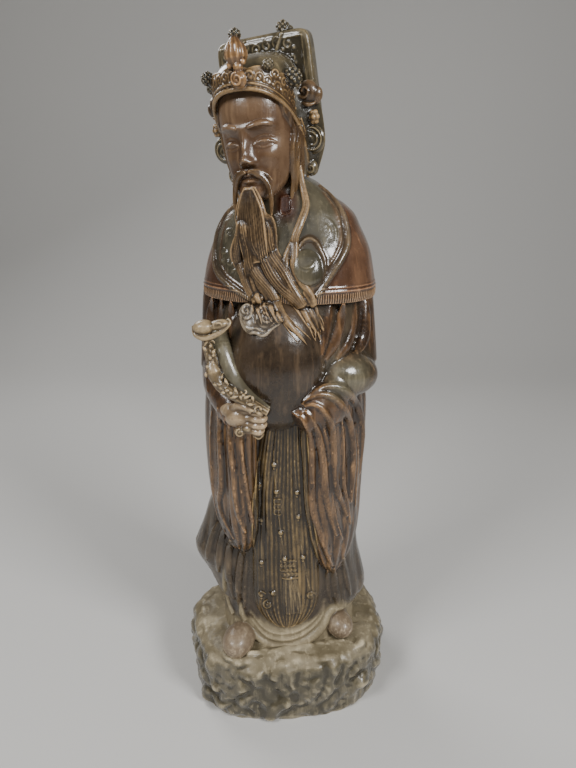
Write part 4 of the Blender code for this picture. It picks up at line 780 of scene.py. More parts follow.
def free_lock(figure, surface, route, widths, thick=0.6, lift=0.15, strands=0):
    """A lock that hangs clear of the body where its own depth says so, and lies on it elsewhere."""
    rows = through([(x, z, y) for x, z, y in route], 8 * len(route))
    points, facings = [], []
    for x, z, y in rows:
        point, normal = seen_from_front(surface, x, z)
        if point is not None and point.y - lift < y:
            points.append((x, point.y - lift, z))
            facings.append(np.array(normal if normal.y < 0 else -normal))
        else:
            points.append((x, y, z))
            facings.append(np.array((0.0, -1.0, 0.2)))
    points, facings = np.array(points), np.array(facings)
    eased(points, 4)
    eased(facings, 4)
    for i, (x, _, z) in enumerate(points):
        point, _ = seen_from_front(surface, x, z)
        if point is not None:
            points[i, 1] = min(points[i, 1], point.y - lift)
    tube(figure, points, widths, thick, facings, strands)


BEARD = [  # half width, where across the chin the lock starts, then its route as x, height and depth
    (0.7, -2.0, [(-6.0, 76.4, -8.1), (-6.35, 74.2, -7.6), (-6.3, 71.5, -7), (-5.8, 69.4, -7),
                 (-4.6, 67.5, -7), (-3.8, 65.9, -7), (-3.6, 64.4, -7)]),
    (0.9, -1.3, [(-5.4, 76.2, -8.3), (-5.1, 74.0, -8.1), (-4.5, 71.6, -8), (-3.5, 69.6, -8), (-2.0, 67.4, -8),
                 (-0.3, 65.0, -8), (1.2, 62.9, -8), (2.4, 61.5, -8)]),
    (1.05, -0.3, [(-4.3, 76.0, -8.4), (-3.8, 73.6, -8.3), (-2.6, 71.2, -8), (-0.8, 69.0, -8), (1.2, 66.8, -8),
                  (2.9, 64.4, -8), (4.2, 62.4, -8)]),
    (0.95, 0.9, [(-3.0, 76.2, -8.3), (-2.5, 74.1, -8.2), (-1.9, 72.2, -8), (-0.6, 70.2, -8), (1.0, 67.9, -8),
                 (2.6, 65.4, -8), (3.8, 63.4, -8), (4.7, 61.2, -8)]),
    (0.6, -0.9, [(-4.9, 75.8, -8.35), (-4.9, 73.4, -8.2), (-4.9, 71.0, -8), (-4.6, 68.6, -8),
                 (-3.6, 66.8, -8), (-2.9, 65.8, -8)]),
    (0.75, -0.6, [(-4.6, 75.6, -8.4), (-4.5, 73.2, -8.2), (-4.0, 70.8, -8), (-3.4, 68.6, -8),
                  (-2.4, 66.4, -8), (-1.0, 64.4, -8)]),
    (0.5, 1.7, [(-2.2, 77.0, -8.1), (-1.8, 75.0, -7.9), (-1.4, 72.8, -8), (0.0, 70.6, -8), (1.6, 68.6, -8)]),
    (0.5, None, [(0.9, 75.6, -7.8), (0.1, 73.2, -8), (-0.2, 71.2, -8), (0.2, 69.4, -8), (1.5, 66.9, -8),
                 (3.1, 63.8, -8), (3.8, 61.6, -8)]),
    (0.55, None, [(1.4, 83.8, -4.4), (1.9, 80.9, -5.0), (2.3, 78.7, -6.2), (1.6, 76.6, -7.4), (0.8, 74.4, -8),
                  (0.7, 72.1, -8), (1.4, 70.0, -8), (2.8, 67.6, -8), (4.1, 64.6, -8), (5.0, 61.6, -8),
                  (5.1, 60.6, -8)]),
    (0.4, None, [(2.2, 68.2, -8), (3.4, 65.6, -8), (4.3, 62.9, -8), (4.4, 61.6, -8)]),
    (0.65, None, [(2.9, 83.9, -2.8), (3.3, 81.8, -3.6), (3.6, 78.3, -5.8), (3.6, 75.8, -7.2),
                  (3.5, 74.4, -8)]),
    (0.34, None, [(-1.9, 83.6, -7.4), (-1.6, 82.2, -8.0), (-1.5, 80.9, -8.0)]),
    (0.32, None, [(-1.1, 83.9, -7.0), (-0.8, 82.6, -7.5), (-0.9, 81.4, -7.4)]),
    (0.32, None, [(-0.3, 84.2, -6.4), (0.0, 82.9, -6.9), (0.1, 81.6, -6.6)]),
]
CHIN_THREAD = [  # share of the way across the chin, depth and height, in the head's own axes
    (0.35, -5.7, -5.0),
    (0.7, -6.0, -6.5),
    (0.9, -6.2, -8.0),
    (0.95, -6.5, -10.5),
    (0.9, -6.5, -13.0),
]
LOCK_TAPER = (0.8, 0.9, 0.9, 0.75, 0.5, 0.06)  # a lock's half widths after its start, against its widest


def beard(figure, surface):
    """The core under the chin and the long wavy locks over it, each cut into fine threads."""
    core = [(-4.6, 79.6, -6.7), (-4.5, 77.0, -6.9), (-4.4, 74.5, -6.8), (-3.9, 71.5, -7.2)]
    free_lock(figure, surface, core, [1.2, 1.8, 1.7, 0.9], 1.0, 0.0)
    for across in np.linspace(-1.7, 1.7, 12):
        thread = on_head([(share * across, y, z) for share, y, z in CHIN_THREAD])
        tube(figure, thread, [0.06, 0.16, 0.17, 0.16, 0.03])
    for k, (width, across, route) in enumerate(BEARD):
        start = 0.5
        if across is not None:
            chin = [(0.3 * across, -5.1, -5.0), (0.65 * across, -5.45, -6.4), (0.85 * across, -5.6, -8.0)]
            route = [(x, z, y) for x, y, z in on_head(chin)] + route
            start = 0.3
        wavy = []
        for x, z, y in through(route, 5 * len(route)):
            loose = min(1.0, max(0.0, (77.0 - z) / 5.0))
            wavy.append((x + 0.2 * loose * math.sin(1.1 * z + 1.9 * k), z, y))
        widths = [start * width] + [taper * width for taper in LOCK_TAPER]
        free_lock(figure, surface, wavy, widths, 0.65, 0.1 + 0.1 * width, int(8 + 9 * width))
        if width > 0.55:
            for way in (-1, 1):
                stray = []
                for x, z, y in wavy[8:]:
                    stray.append((x + way * (0.75 * width + 0.25 * math.sin(0.8 * z + 2.3 * k)), z, y))
                free_lock(figure, surface, stray, [0.05, 0.2, 0.24, 0.2, 0.04], 0.8, 0.08, 4)


def pendant(figure, base):
    """The cloud-shaped clasp on the chest: a rounded body under two scrolls, with a lobed lower edge."""
    surface = base.surface()
    plate = Clay()
    for x, z, r in ((-5.1, 65.3, 1.35), (-2.9, 65.0, 1.6), (-4.0, 64.4, 1.75), (-6.7, 65.4, 0.6),
                    (-1.4, 64.9, 0.8)):
        point, normal = seen_from_front(surface, x, z)
        tilt = math.degrees(math.asin(max(-1.0, min(1.0, normal.z))))
        blob(plate, np.array(point), (r, 0.7, r), (tilt, 0, 0))
    figure.take(plate)
    under = Clay()
    under.take(base)
    under.take(plate)
    raised = under.surface()
    scrolls = (((-5.4, 65.7), 0.9, 250, 1), ((-2.8, 65.3), 1.25, 200, -1), ((-6.8, 65.5), 0.5, 90, 1))
    for middle, size, start, way in scrolls:
        ridge(figure, raised, spiral(middle, size, start, 1.5, way), [0.17, 0.25, 0.16], 0.95, ease=1)
    rim = [(-6.4, 65.1), (-6.2, 64.2), (-5.5, 63.3), (-4.8, 63.1), (-4.2, 63.3), (-3.4, 62.8), (-2.7, 63.1),
           (-2.0, 63.8), (-1.1, 64.3)]
    ridge(figure, raised, rim, [0.16, 0.26, 0.26, 0.16], 0.95)
    ridge(figure, raised, [(x + 0.08, z + 0.55) for x, z in rim], [0.08, 0.13, 0.13, 0.08], 0.95)
    blob(figure, spot(raised, -3.9, 67.1) + (0, -0.3, 0), (0.6, 0.5, 0.6))


STEM = [  # the sceptre's stem, from inside its head to the fist
    (-10.4, -10.1, 63.8),
    (-10.5, -9.8, 62.4),
    (-10.5, -9.9, 60.9),
    (-10.1, -10.1, 59.2),
    (-9.7, -10.4, 57.3),
    (-8.8, -11.1, 55.9),
    (-6.7, -12.0, 54.8),
    (-4.5, -12.7, 53.8),
    (-2.6, -13.0, 52.9),
]


def sceptre(figure, band):
    """The sceptre: a smooth cloud head, a carved and knotted stem, and the plain band it lies against."""
    blob(figure, (-10.95, -10.4, 63.75), (1.4, 1.2, 0.98), (0, -8, 0))
    blob(figure, (-9.0, -10.3, 64.05), (1.5, 0.95, 0.68), (0, -12, 0))
    scroll(figure, (-8.95, -11.1, 64.15), (1, 0, 0.2), (-0.1, -0.35, 0.95), 0.62, 120, 1, 1.7, 0.24)
    lip = [(-12.3, -10.2, 63.9), (-12.0, -10.8, 62.9), (-11.0, -11.1, 62.45), (-9.7, -11.1, 62.7),
           (-8.4, -10.9, 63.4)]
    lip += [(-7.5, -10.5, 64.3), (-7.8, -10.2, 64.9)]
    tube(figure, lip, [0.22, 0.32, 0.36, 0.36, 0.32, 0.26, 0.14], 0.9, (0, -1, 0.4))
    tube(figure, STEM, [0.5, 0.6, 0.7, 0.75, 0.8, 0.8, 0.7, 0.65, 0.5], 0.95, (0.1, -1, 0.4), 7)
    bulb = [(-10.1, -10.4, 59.0), (-9.9, -10.7, 58.0), (-9.5, -10.9, 56.9), (-8.9, -11.3, 55.9)]
    tube(figure, bulb, [0.6, 0.95, 0.85, 0.6], 0.9, (0.1, -1, 0.4))
    rows = through(STEM, 48)
    run = np.gradient(rows, axis=0)
    for i, (place, ahead) in enumerate(zip(rows[3:-2], run[3:-2])):
        ahead = ahead / np.linalg.norm(ahead)
        out = np.cross(np.cross(ahead, (0.1, -1, 0.5)), ahead)
        out /= np.linalg.norm(out)
        side = np.cross(ahead, out)
        first, second, third = (noise.noise(Vector((1.7 * i + 0.35, k * 3.3, 0.5))) for k in range(3))
        middle = place + 0.55 * out + 1.6 * first * side
        if i % 4 == 0:
            scroll(figure, middle, side, ahead, 0.42 + 0.3 * second, 200 + 400 * third, 1, 0.8, 0.3)
        else:
            lean = (i % 4 - 2) * 0.5 + second
            tip = middle + lean * side - (0.7 + 0.6 * third) * ahead
            bend = 0.5 * (middle + tip) + 0.22 * out + 0.2 * third * side
            tube(figure, [middle, bend, tip], [0.1, 0.24, 0.05], 0.8, out)
    plain = [(-9.3, -5.5, 62.8), (-8.9, -8.3, 60.6), (-7.5, -9.8, 57.0), (-5.4, -11.4, 54.6),
             (-2.7, -12.5, 52.9)]
    tube(band, plain, [1.0, 1.3, 1.4, 1.1, 0.7], 0.85, (0.3, -1, 0.5))
    for x, z, way in ((-6.4, 49.9, 1), (-4.0, 49.5, -1)):
        blob(figure, (x, -12.3, z), (0.8, 0.6, 0.65))
        scroll(figure, (x, -12.8, z), (1, 0, 0), (0, 0, 1), 0.6, 90, way, 1.3, 0.24)
    tube(figure, [(-6.3, -12.2, 50.1), (-5.2, -12.6, 50.4), (-4.1, -12.5, 49.8)], [0.4, 0.5, 0.35])


def hand(figure):
    """The right hand: a fist closed round the sceptre, with short fingers that point across the body."""
    blob(figure, (-6.5, -11.0, 51.6), (2.2, 1.6, 1.65), (0, -8, -20))
    tube(figure, [(-8.4, -8.6, 52.6), (-7.8, -9.9, 52.3), (-6.8, -10.8, 51.8)], [1.5, 1.55, 1.5])
    for z, reach in ((52.8, -0.2), (51.85, 0.05), (50.95, 0.0), (50.1, -0.35)):
        knuckle = (-5.1, -12.4, z)
        tip = [(-3.4 + reach, -13.0, z), (-3.1 + reach, -12.2, z)]
        path = [(-6.6, -11.8, z - 0.1), knuckle, (-4.2, -13.0, z), *tip]
        tube(figure, path, [0.48, 0.52, 0.49, 0.46, 0.4])
        blob(figure, (-3.35 + reach, -13.2, z + 0.05), (0.3, 0.24, 0.28))
    thumb = [(-7.3, -11.2, 52.8), (-6.5, -12.1, 53.5), (-5.5, -12.8, 53.5), (-4.7, -13.1, 53.1)]
    tube(figure, thumb, [0.62, 0.58, 0.5, 0.4])


FAR_FOLDS = [  # creases that fan from the hidden hand and fall down the sleeve: half width, then x and height
    (0.60, [(1.9, 53.4), (3.8, 55.3), (6.2, 55.5), (7.9, 54.6), (9.7, 51.4), (10.8, 48.0), (11.1, 43.8),
            (10.9, 39.0)]),
    (0.60, [(2.1, 53.8), (3.2, 54.7), (5.4, 54.6), (7.3, 52.8), (8.7, 49.2), (9.4, 45.4), (9.6, 42.8),
            (9.6, 39.2), (9.5, 35.5)]),
    (0.59, [(2.2, 53.3), (2.9, 53.8), (4.5, 53.1), (5.8, 50.6), (6.3, 46.8), (6.6, 42.5), (6.9, 39.4),
            (7.8, 36.8), (9.0, 33.4)]),
    (0.58, [(2.2, 52.7), (3.2, 51.6), (4.1, 48.8), (4.9, 44.6), (5.4, 39.3), (6.2, 35.1), (7.3, 31.0)]),
    (0.53, [(1.6, 52.2), (2.3, 50.9), (3.2, 47.8), (3.4, 41.3), (3.6, 36.4), (4.7, 32.3), (5.6, 29.4),
            (6.9, 25.0)]),
    (0.42, [(7.5, 50.2), (7.8, 46.6), (8.0, 42.8), (8.2, 39.0), (9.0, 35.0), (9.6, 31.5)]),
    (0.37, [(4.9, 49.6), (5.6, 46.0), (5.9, 41.5), (6.3, 37.6), (7.2, 33.4), (8.3, 29.6)]),
    (0.36, [(10.0, 47.0), (10.3, 43.0), (10.2, 38.5), (10.4, 34.0)]),
]
NEAR_FOLDS = [
    (0.37, [(-11.0, 50.2), (-11.3, 45.0), (-11.3, 39.5), (-11.1, 34.6), (-10.2, 31.6), (-8.6, 30.3),
           (-7.1, 29.7)]),
    (0.50, [(-9.5, 52.6), (-9.6, 48.0), (-9.5, 44.0), (-9.6, 39.4), (-10.1, 36.9), (-9.5, 34.1),
           (-8.0, 30.9)]),
    (0.37, [(-6.4, 47.8), (-6.3, 43.7), (-5.8, 38.7), (-5.2, 33.6), (-5.3, 30.4)]),
    (0.46, [(-8.1, 51.0), (-8.0, 46.7), (-7.7, 42.6), (-7.5, 38.3), (-6.9, 34.6), (-6.3, 32.4)]),
]
ARM_FOLDS = [
    (0.6, [(5.6, 66.2), (5.2, 63.5), (4.7, 61.2), (4.5, 59.6)]),
    (0.75, [(7.3, 66.4), (7.1, 63.3), (6.3, 60.9), (5.0, 58.9)]),
    (0.8, [(9.2, 66.2), (9.2, 62.7), (8.3, 60.0), (6.6, 58.6)]),
    (0.75, [(11.0, 65.8), (11.2, 62.6), (10.8, 60.2), (9.5, 58.8)]),
    (0.7, [(-10.4, 66.5), (-11, 64.3), (-11.2, 61.5), (-11.2, 57.6), (-11.1, 54.0)]),
    (0.7, [(-9, 66.7), (-9.5, 64.5), (-9.7, 61), (-9.6, 57.3)]),
    (0.6, [(-7.6, 66.4), (-7.8, 64.3), (-7.7, 61.6)]),
]
SKIRT_FOLDS = [
    (0.55, [(-9.6, 32.1), (-10.8, 26.3), (-11.2, 22)]),
    (0.6, [(-8.6, 30.3), (-9.5, 24.6), (-9.2, 19.9), (-8.8, 17.4)]),
    (0.6, [(-6.9, 28.5), (-7.9, 21.8), (-8, 16.3)]),
    (0.4, [(-6.3, 27.0), (-6.9, 21.0), (-7.0, 16.4)]),
    (0.5, [(-11.0, 31.0), (-12.6, 26.5), (-13.0, 23.5)]),
    (0.55, [(8.6, 26.0), (9.4, 21.0), (10.2, 17.6)]),
    (0.55, [(7.2, 24.5), (7.4, 20.0), (8.2, 16.4)]),
    (0.4, [(6.2, 24.0), (6.4, 20.0), (7.0, 17.2)]),
]
BACK_FOLDS = [  # half width, then the angle round the figure from the front, and height
    (0.7, [(122, 62), (126, 50), (124, 36), (120, 24), (118, 17)]),
    (0.7, [(146, 64), (150, 48), (148, 32), (144, 20), (142, 14)]),
    (0.7, [(172, 64), (170, 46), (174, 30), (172, 16)]),
    (0.7, [(-162, 64), (-164, 48), (-160, 30), (-158, 16)]),
    (0.7, [(-136, 63), (-140, 48), (-136, 32), (-132, 20), (-130, 14)]),
    (0.7, [(-112, 60), (-116, 46), (-114, 32), (-112, 22)]),
]


def folds(clay, surface, table, thick, look=seen_from_front):
    """Lays every fold of a table on the surface, thickest below its middle."""
    for width, route in table:
        widths = [0.45 * width, width, 1.1 * width, 1.1 * width, 0.5 * width]
        ridge(clay, surface, route, widths, thick, look, 0.0, 8)


APRON = [  # height, left edge, right edge
    (50.6, -3.2, 2.6),
    (47.5, -3.8, 2.9),
    (42.0, -4.6, 3.4),
    (36.4, -5.3, 3.9),
    (29.5, -5.5, 4.6),
    (22.0, -5.6, 4.9),
    (18.3, -5.3, 4.7),
    (16.2, -4.2, 3.7),
    (14.9, -2.6, 2.2),
    (14.5, -1.2, 0.8),
]
APRON_PLEATS = 15


def second_drape():
    """The shorter layer of the far sleeve, which hangs outside the long one and ends in its own point."""
    clay = Clay()
    rows = [
        (27.6, 8.9, -5.0, 0.5, 0.5),
        (29.2, 8.8, -5.0, 1.5, 0.9),
        (33.0, 8.6, -4.7, 2.4, 1.5),
        (40.0, 8.4, -4.4, 2.8, 1.9),
        (48.0, 8.2, -4.2, 2.8, 2.0),
    ]
    hanging_sleeve(clay, rows, (-0.65, -0.76), 5, 0.15, 0.6)
    return clay


def apron(figure, surface):
    """The pleated panel that hangs down the middle of the front, thickened forwards from the robe."""
    rings = []
    across = 113
    for z, left, right in through(APRON, 80):
        front, back = [], []
        for share in np.linspace(0, 1, across):
            x = left + (right - left) * share
            point, _ = seen_from_front(surface, x, min(z, 47.0))
            drift = 0.05 * math.sin(0.45 * z + 9 * share)
            pleat = math.pi * APRON_PLEATS * (share + 0.1 * drift)
            wave = 0.15 * abs(math.sin(pleat)) + 0.07 * math.sin(31 * share + 0.2 * z)
            edge = 0.45 * math.exp(-min(share, 1 - share) * (right - left) / 0.35)
            front.append((x, point.y - 0.5 - wave + edge, z))
            back.append((x, point.y + 1.2, z))
        rings.append(front + back[::-1])
    rings = np.array(rings)
    eased(rings[:, :, 1], 2)
    loft(figure, rings)


BEAD_STRINGS = (  # x and height of each bead down a string
    [(-2.0, 45.5), (-2.0, 43.2), (-1.7, 38.7), (-1.1, 31.7), (-0.5, 27.0)],
    [(-4.0, 43.0), (-4.3, 39.5), (-4.0, 33.5), (-4.1, 25.9), (-4.2, 20.1)],
    [(0.9, 44.0), (1.3, 38.6), (1.5, 34.4), (2.3, 27.1), (3.6, 20.1)],
)


def beads(figure, surface):
    """The strings of beads, the knotted plaque and the tassel that lie on the apron."""
    for route in BEAD_STRINGS:
        ridge(figure, surface, route, [0.09, 0.09], 1.0)
        for x, z in route[1:]:
            for drop, size in ((0.0, 0.42), (0.6, 0.24)):
                blob(figure, spot(surface, x, z - drop), (size, size, size))
    for z in (37.4, 36.5, 35.6):
        box = [(-2.0, z), (-1.1, z + 0.05), (-1.05, z - 0.7), (-1.95, z - 0.75), (-2.0, z)]
        ridge(figure, surface, box, [0.14, 0.14], 1.0, ease=0)
    for row, z in enumerate(np.arange(26.4, 23.6, -0.75)):
        for x in (-1.0, -0.4, 0.25, 0.85):
            ridge(figure, surface, spiral((x + 0.1 * row, z), 0.38, 90 * row, 1.1), [0.12, 0.17, 0.12], 1.0)
    for x, z, size, start in ((-4.1, 20.2, 0.6, 0), (-2.4, 20.7, 0.55, 180), (-3.2, 18.5, 0.8, 90),
                              (3.6, 19.9, 0.7, 0)):
        ridge(figure, surface, spiral((x, z), size, start, 1.4), [0.12, 0.26, 0.16], 1.0)
        blob(figure, spot(surface, x, z), (0.34, 0.34, 0.34))
    ridge(figure, surface, [(-0.9, 23.4), (0.3, 23.3), (1.5, 23.4)], [0.14, 0.24, 0.14], 1.0)
    for share in np.linspace(-1, 1, 8):
        top, foot = (0.3 + 0.9 * share, 23.2), (0.75 + 1.25 * share, 16.9)
        bend = (0.55 + 1.2 * share, 20.0)
        ridge(figure, surface, [top, bend, foot], [0.1, 0.19, 0.12], 1.0)


HEM = [  # the robes' lowest roll, as x and height
    (-8.6, 13.5),
    (-6.6, 13.6),
    (-5.3, 12.2),
    (-3.6, 10.9),
    (-1.4, 10.4),
    (1.2, 10.7),
    (3.4, 11.7),
    (5.6, 13.4),
    (6.4, 15.4),
    (7.9, 16.3),
    (9.6, 15.6),
]


HEM_EDGES = [  # the turned edges of the layers at the near side
    [(-9.8, 24), (-10.4, 19), (-9.9, 15.2), (-8.9, 14.2)],
    [(-7.7, 17.0), (-7.5, 15.0), (-6.9, 14.2)],
]


def hem(figure, surface):
    """The thick rolled hems of the layered robes below the apron."""
    ridge(figure, surface, HEM, [0.4, 0.6, 0.75, 0.7, 0.45], 0.8, lift=0.1, ease=6)
    for rise, width in ((1.5, 0.34), (2.6, 0.26)):
        upper = [(0.92 * x, z + rise) for x, z in HEM[1:-2]]
        ridge(figure, surface, upper, [0.15, width, width, 0.15], 0.7, ease=6)
    for route in HEM_EDGES:
        ridge(figure, surface, route, [0.3, 0.5, 0.5], 0.8, ease=6)


SHOES = (((-7.9, -8.9, 12.1), (2.5, 3.2, 2.3), -18), ((8.2, -5.8, 12.9), (2.2, 3.1, 2.1), 30))


def shoes():
    """The round upturned toes of two shoes, with a seam and low cloud scrolls."""
    figure = Clay()
    for middle, radii, turn in SHOES:
        toe = Clay()
        blob(toe, middle, radii, (0, 0, turn))
        surface = toe.surface()
        figure.take(toe)
        x, _, z = middle
        wide, tall = radii[0], radii[2]
        seam = [(x - 0.85 * wide, z + 0.1), (x - 0.3, z - 0.55 * tall), (x + 0.4, z - 0.5 * tall),
                (x + 0.85 * wide, z + 0.25)]
        ridge(figure, surface, seam, [0.1, 0.2, 0.1], 0.9)
        for dx, dz, size, way in ((-0.45, 0.15, 0.62, 1), (0.5, 0.1, 0.55, -1), (0.0, -0.72, 0.5, 1)):
            curl = spiral((x + dx * wide * 0.6, z + dz * tall), size, 200, 1.2, way)
            ridge(figure, surface, curl, [0.06, 0.14, 0.08], 0.9)
    return figure


def masses():
    """The large forms, which the finer ones are then laid on."""
    figure = Clay()
    for made in (robe(), outer_robe(), cape(), arms(), sleeves(), second_drape()):
        figure.take(made)
    return figure


def largest_shell(mesh):
    """Leaves only the connected surface with the most points."""
    ends = edge_ends(mesh)
    label = np.arange(len(mesh.vertices))
    while True:
        low = np.minimum(label[ends[:, 0]], label[ends[:, 1]])
        fresh = label.copy()
        np.minimum.at(fresh, ends[:, 0], low)
        np.minimum.at(fresh, ends[:, 1], low)
        fresh = fresh[fresh]
        if np.array_equal(fresh, label):
            break
        label = fresh
    names, counts = np.unique(label, return_counts=True)
    keep = label == names[np.argmax(counts)]
    if keep.all():
        return
    shape = bmesh.new()
    shape.from_mesh(mesh)
    shape.verts.ensure_lookup_table()
    bmesh.ops.delete(shape, geom=[v for v in shape.verts if not keep[v.index]], context="VERTS")
    shape.to_mesh(mesh)
    shape.free()


def applied(body):
    """Makes the shape that the body's modifiers give its own mesh."""
    graph = bpy.context.evaluated_depsgraph_get()
    body.data = bpy.data.meshes.new_from_object(body.evaluated_get(graph))
    body.modifiers.clear()


def fused(name, *clays, ease=2):
    """The clays' shapes melted into one skin, in parts, with a smoothed surface."""
    whole = Clay()
    for clay in clays:
        whole.take(clay)
    mesh = bpy.data.meshes.new(name)
    mesh.from_pydata(whole.points, [], whole.faces)
    body = bpy.data.objects.new(name, mesh)
    bpy.context.scene.collection.objects.link(body)
    melt = body.modifiers.new("melt", "REMESH")
    melt.mode = "VOXEL"
    melt.voxel_size = PIECES[name][0]
    applied(body)
    largest_shell(body.data)
    spread(body.data, ease, 0.5)
    return body


def corners(mesh):
    points = np.empty(3 * len(mesh.vertices))
    mesh.vertices.foreach_get("co", points)
    return points.reshape(-1, 3)


def outward(mesh):
    normals = np.empty(3 * len(mesh.vertices))
    mesh.vertex_normals.foreach_get("vector", normals)
    return normals.reshape(-1, 3)


def edge_ends(mesh):
    ends = np.empty(2 * len(mesh.edges), np.int32)
    mesh.edges.foreach_get("vertices", ends)
    return ends.reshape(-1, 2)


def ramp(value, span):
    """Rises from 0 to 1 as the value goes from 0 to the span."""
    return np.clip(value / span, 0, 1)


def averaged(values, ends, rounds, pull=1.0):
    """Each point's values drawn towards the mean of its neighbours', round after round."""
    count = len(values)
    a, b = ends[:, 0], ends[:, 1]
    valence = np.maximum(1, np.bincount(a, minlength=count) + np.bincount(b, minlength=count))
    values = np.array(values, float)
    columns = values.reshape(count, -1)
    for _ in range(rounds):
        for k in range(columns.shape[1]):
            column = columns[:, k]
            total = np.bincount(a, column[b], count) + np.bincount(b, column[a], count)
            columns[:, k] = column + pull * (total / valence - column)
    return columns.reshape(values.shape)


def spread(mesh, rounds, pull):
    points = averaged(corners(mesh), edge_ends(mesh), rounds, pull)
    mesh.vertices.foreach_set("co", points.ravel())
    mesh.update()


def shifted(mesh, amount):
    """Moves every point along its normal by the given amounts."""
    points = corners(mesh) + outward(mesh) * np.asarray(amount)[:, None]
    mesh.vertices.foreach_set("co", points.ravel())
    mesh.update()


def thinned(body, faces):
    count = len(body.data.loop_triangles) or 2 * len(body.data.polygons)
    if count <= faces:
        return
    thin = body.modifiers.new("thin", "DECIMATE")
    thin.ratio = faces / count
    thin.use_collapse_triangulate = True
    applied(body)


def nearness(points, clay):
    tree = clay.surface()
    reach = np.empty(len(points))
    for i, point in enumerate(points):
        found = tree.find_nearest(Vector(point))
        reach[i] = found[3] if found[3] is not None else 99.0
    return reach


TONES = {  # each part's glaze where it pools dark, where it runs thin over an edge, and how matt it is
    "face": ((0.085, 0.046, 0.024), (0.390, 0.250, 0.138), 0.22),
    "hair": ((0.046, 0.025, 0.012), (0.400, 0.245, 0.110), 0.15),
    "beard": ((0.030, 0.018, 0.009), (0.330, 0.212, 0.104), 0.3),
    "crown": ((0.034, 0.028, 0.016), (0.240, 0.185, 0.098), 0.0),
    "diadem": ((0.055, 0.032, 0.014), (0.440, 0.275, 0.118), 0.0),
    "pompom": ((0.016, 0.014, 0.008), (0.170, 0.130, 0.068), 0.1),
    "bud": ((0.080, 0.040, 0.017), (0.460, 0.260, 0.110), 0.0),
    "boss": ((0.030, 0.018, 0.009), (0.215, 0.130, 0.062), 0.15),
    "lapel": ((0.042, 0.036, 0.022), (0.310, 0.262, 0.165), 0.05),
    "recess": ((0.030, 0.009, 0.005), (0.200, 0.080, 0.036), 0.1),
    "cape": ((0.058, 0.026, 0.013), (0.430, 0.225, 0.115), 0.0),
    "trim": ((0.040, 0.028, 0.016), (0.340, 0.235, 0.130), 0.0),
    "pendant": ((0.060, 0.046, 0.033), (0.330, 0.262, 0.180), 0.15),
    "belly": ((0.015, 0.009, 0.006), (0.150, 0.080, 0.040), 0.0),
    "arm": ((0.028, 0.015, 0.008), (0.340, 0.175, 0.074), 0.0),
    "elbow": ((0.058, 0.050, 0.031), (0.330, 0.285, 0.180), 0.0),
    "cuff": ((0.056, 0.048, 0.030), (0.285, 0.250, 0.158), 0.0),
    "sleeve": ((0.020, 0.010, 0.005), (0.460, 0.255, 0.108), 0.0),
    "apron": ((0.021, 0.014, 0.007), (0.350, 0.235, 0.095), 0.2),
    "beads": ((0.030, 0.021, 0.011), (0.330, 0.235, 0.110), 0.1),
    "skirt": ((0.028, 0.019, 0.011), (0.230, 0.165, 0.096), 0.2),
    "hem": ((0.170, 0.138, 0.084), (0.620, 0.520, 0.345), 0.5),
    "shoe": ((0.135, 0.095, 0.060), (0.540, 0.430, 0.300), 0.35),
    "hand": ((0.150, 0.100, 0.056), (0.560, 0.410, 0.245), 0.1),
    "sceptre": ((0.070, 0.048, 0.025), (0.440, 0.325, 0.180), 0.2),
    "rock": ((0.048, 0.041, 0.025), (0.430, 0.362, 0.232), 0.1),
    "rock_top": ((0.140, 0.114, 0.068), (0.680, 0.580, 0.395), 0.5),
}


def toned(name, share=1.0):
    return np.multiply.outer(share, np.hstack(TONES[name]))


def painted(points, groups):
    """Blends the groups' tones over the points: each takes most from the clay it lies nearest to."""
    weight = np.array([(nearness(points, clay) + 0.12) ** -5.0 for _, clay in groups])
    weight /= weight.sum(0)
    return sum(toned(name, weight[i]) for i, (name, _) in enumerate(groups))


def by_nearness(*groups):
    """A rule for finished: every point takes its tone from the clay that it lies nearest to."""
    return lambda points, normals: painted(points, groups)


def blended(colours, name, share):
    """Turns the colours into one named tone where share is 1."""
    return colours * (1 - share[:, None]) + toned(name, share)


EDGE_REACH = 0.2  # how far the surface is averaged to find its edges, in parts
SWELL_REACH = 0.75  # how far on from there to find its swellings
TONE_REACH = 0.3  # how far neighbouring tones run into each other


def store(mesh, name, values, kind, field):
    layer = mesh.attributes.get(name) or mesh.attributes.new(name, kind, "POINT")
    layer.data.foreach_set(field, np.asarray(values, np.float32).ravel())


def finished(body, tone):
    """Thins the skin, gives it its colour attributes and the edge and swelling measures that thin the glaze
    on ridges and paint shade into broad hollows, and moves it from parts to metres.
    """
    thinned(body, PIECES[body.name][1])
    mesh = body.data
    points = corners(mesh)
    ends = edge_ends(mesh)
    step = np.linalg.norm(points[ends[:, 0]] - points[ends[:, 1]], axis=1).mean()
    normals = outward(mesh)
    near = averaged(points, ends, max(1, int((EDGE_REACH / step) ** 2)))
    wide = averaged(near, ends, max(4, int((SWELL_REACH / step) ** 2)))
    edge = ((points - near) * normals).sum(1)
    swell = ((points - wide) * normals).sum(1)
    colours = averaged(tone(points, normals), ends, max(1, int((TONE_REACH / step) ** 2)))
    for name, part in (("pool", colours[:, :3]), ("thin", colours[:, 3:6])):
        store(mesh, name, np.column_stack([part, np.ones(len(points))]), "FLOAT_COLOR", "color")
    store(mesh, "matt", colours[:, 6], "FLOAT", "value")
    store(mesh, "edge", np.clip(0.5 + edge / 0.09, 0, 1), "FLOAT", "value")
    store(mesh, "swell", np.clip(0.5 + averaged(swell, ends, 1) / 0.5, 0, 1), "FLOAT", "value")
    placed = points * PART
    placed[:, 2] += ROCK_HEIGHT - ROCK_TOP_PARTS * PART
    mesh.vertices.foreach_set("co", placed.ravel())
    mesh.update()
    mesh.shade_smooth()
    mesh.materials.clear()
    mesh.materials.append(GLAZE)
    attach(body, "root")
    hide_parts("immortal_figure")


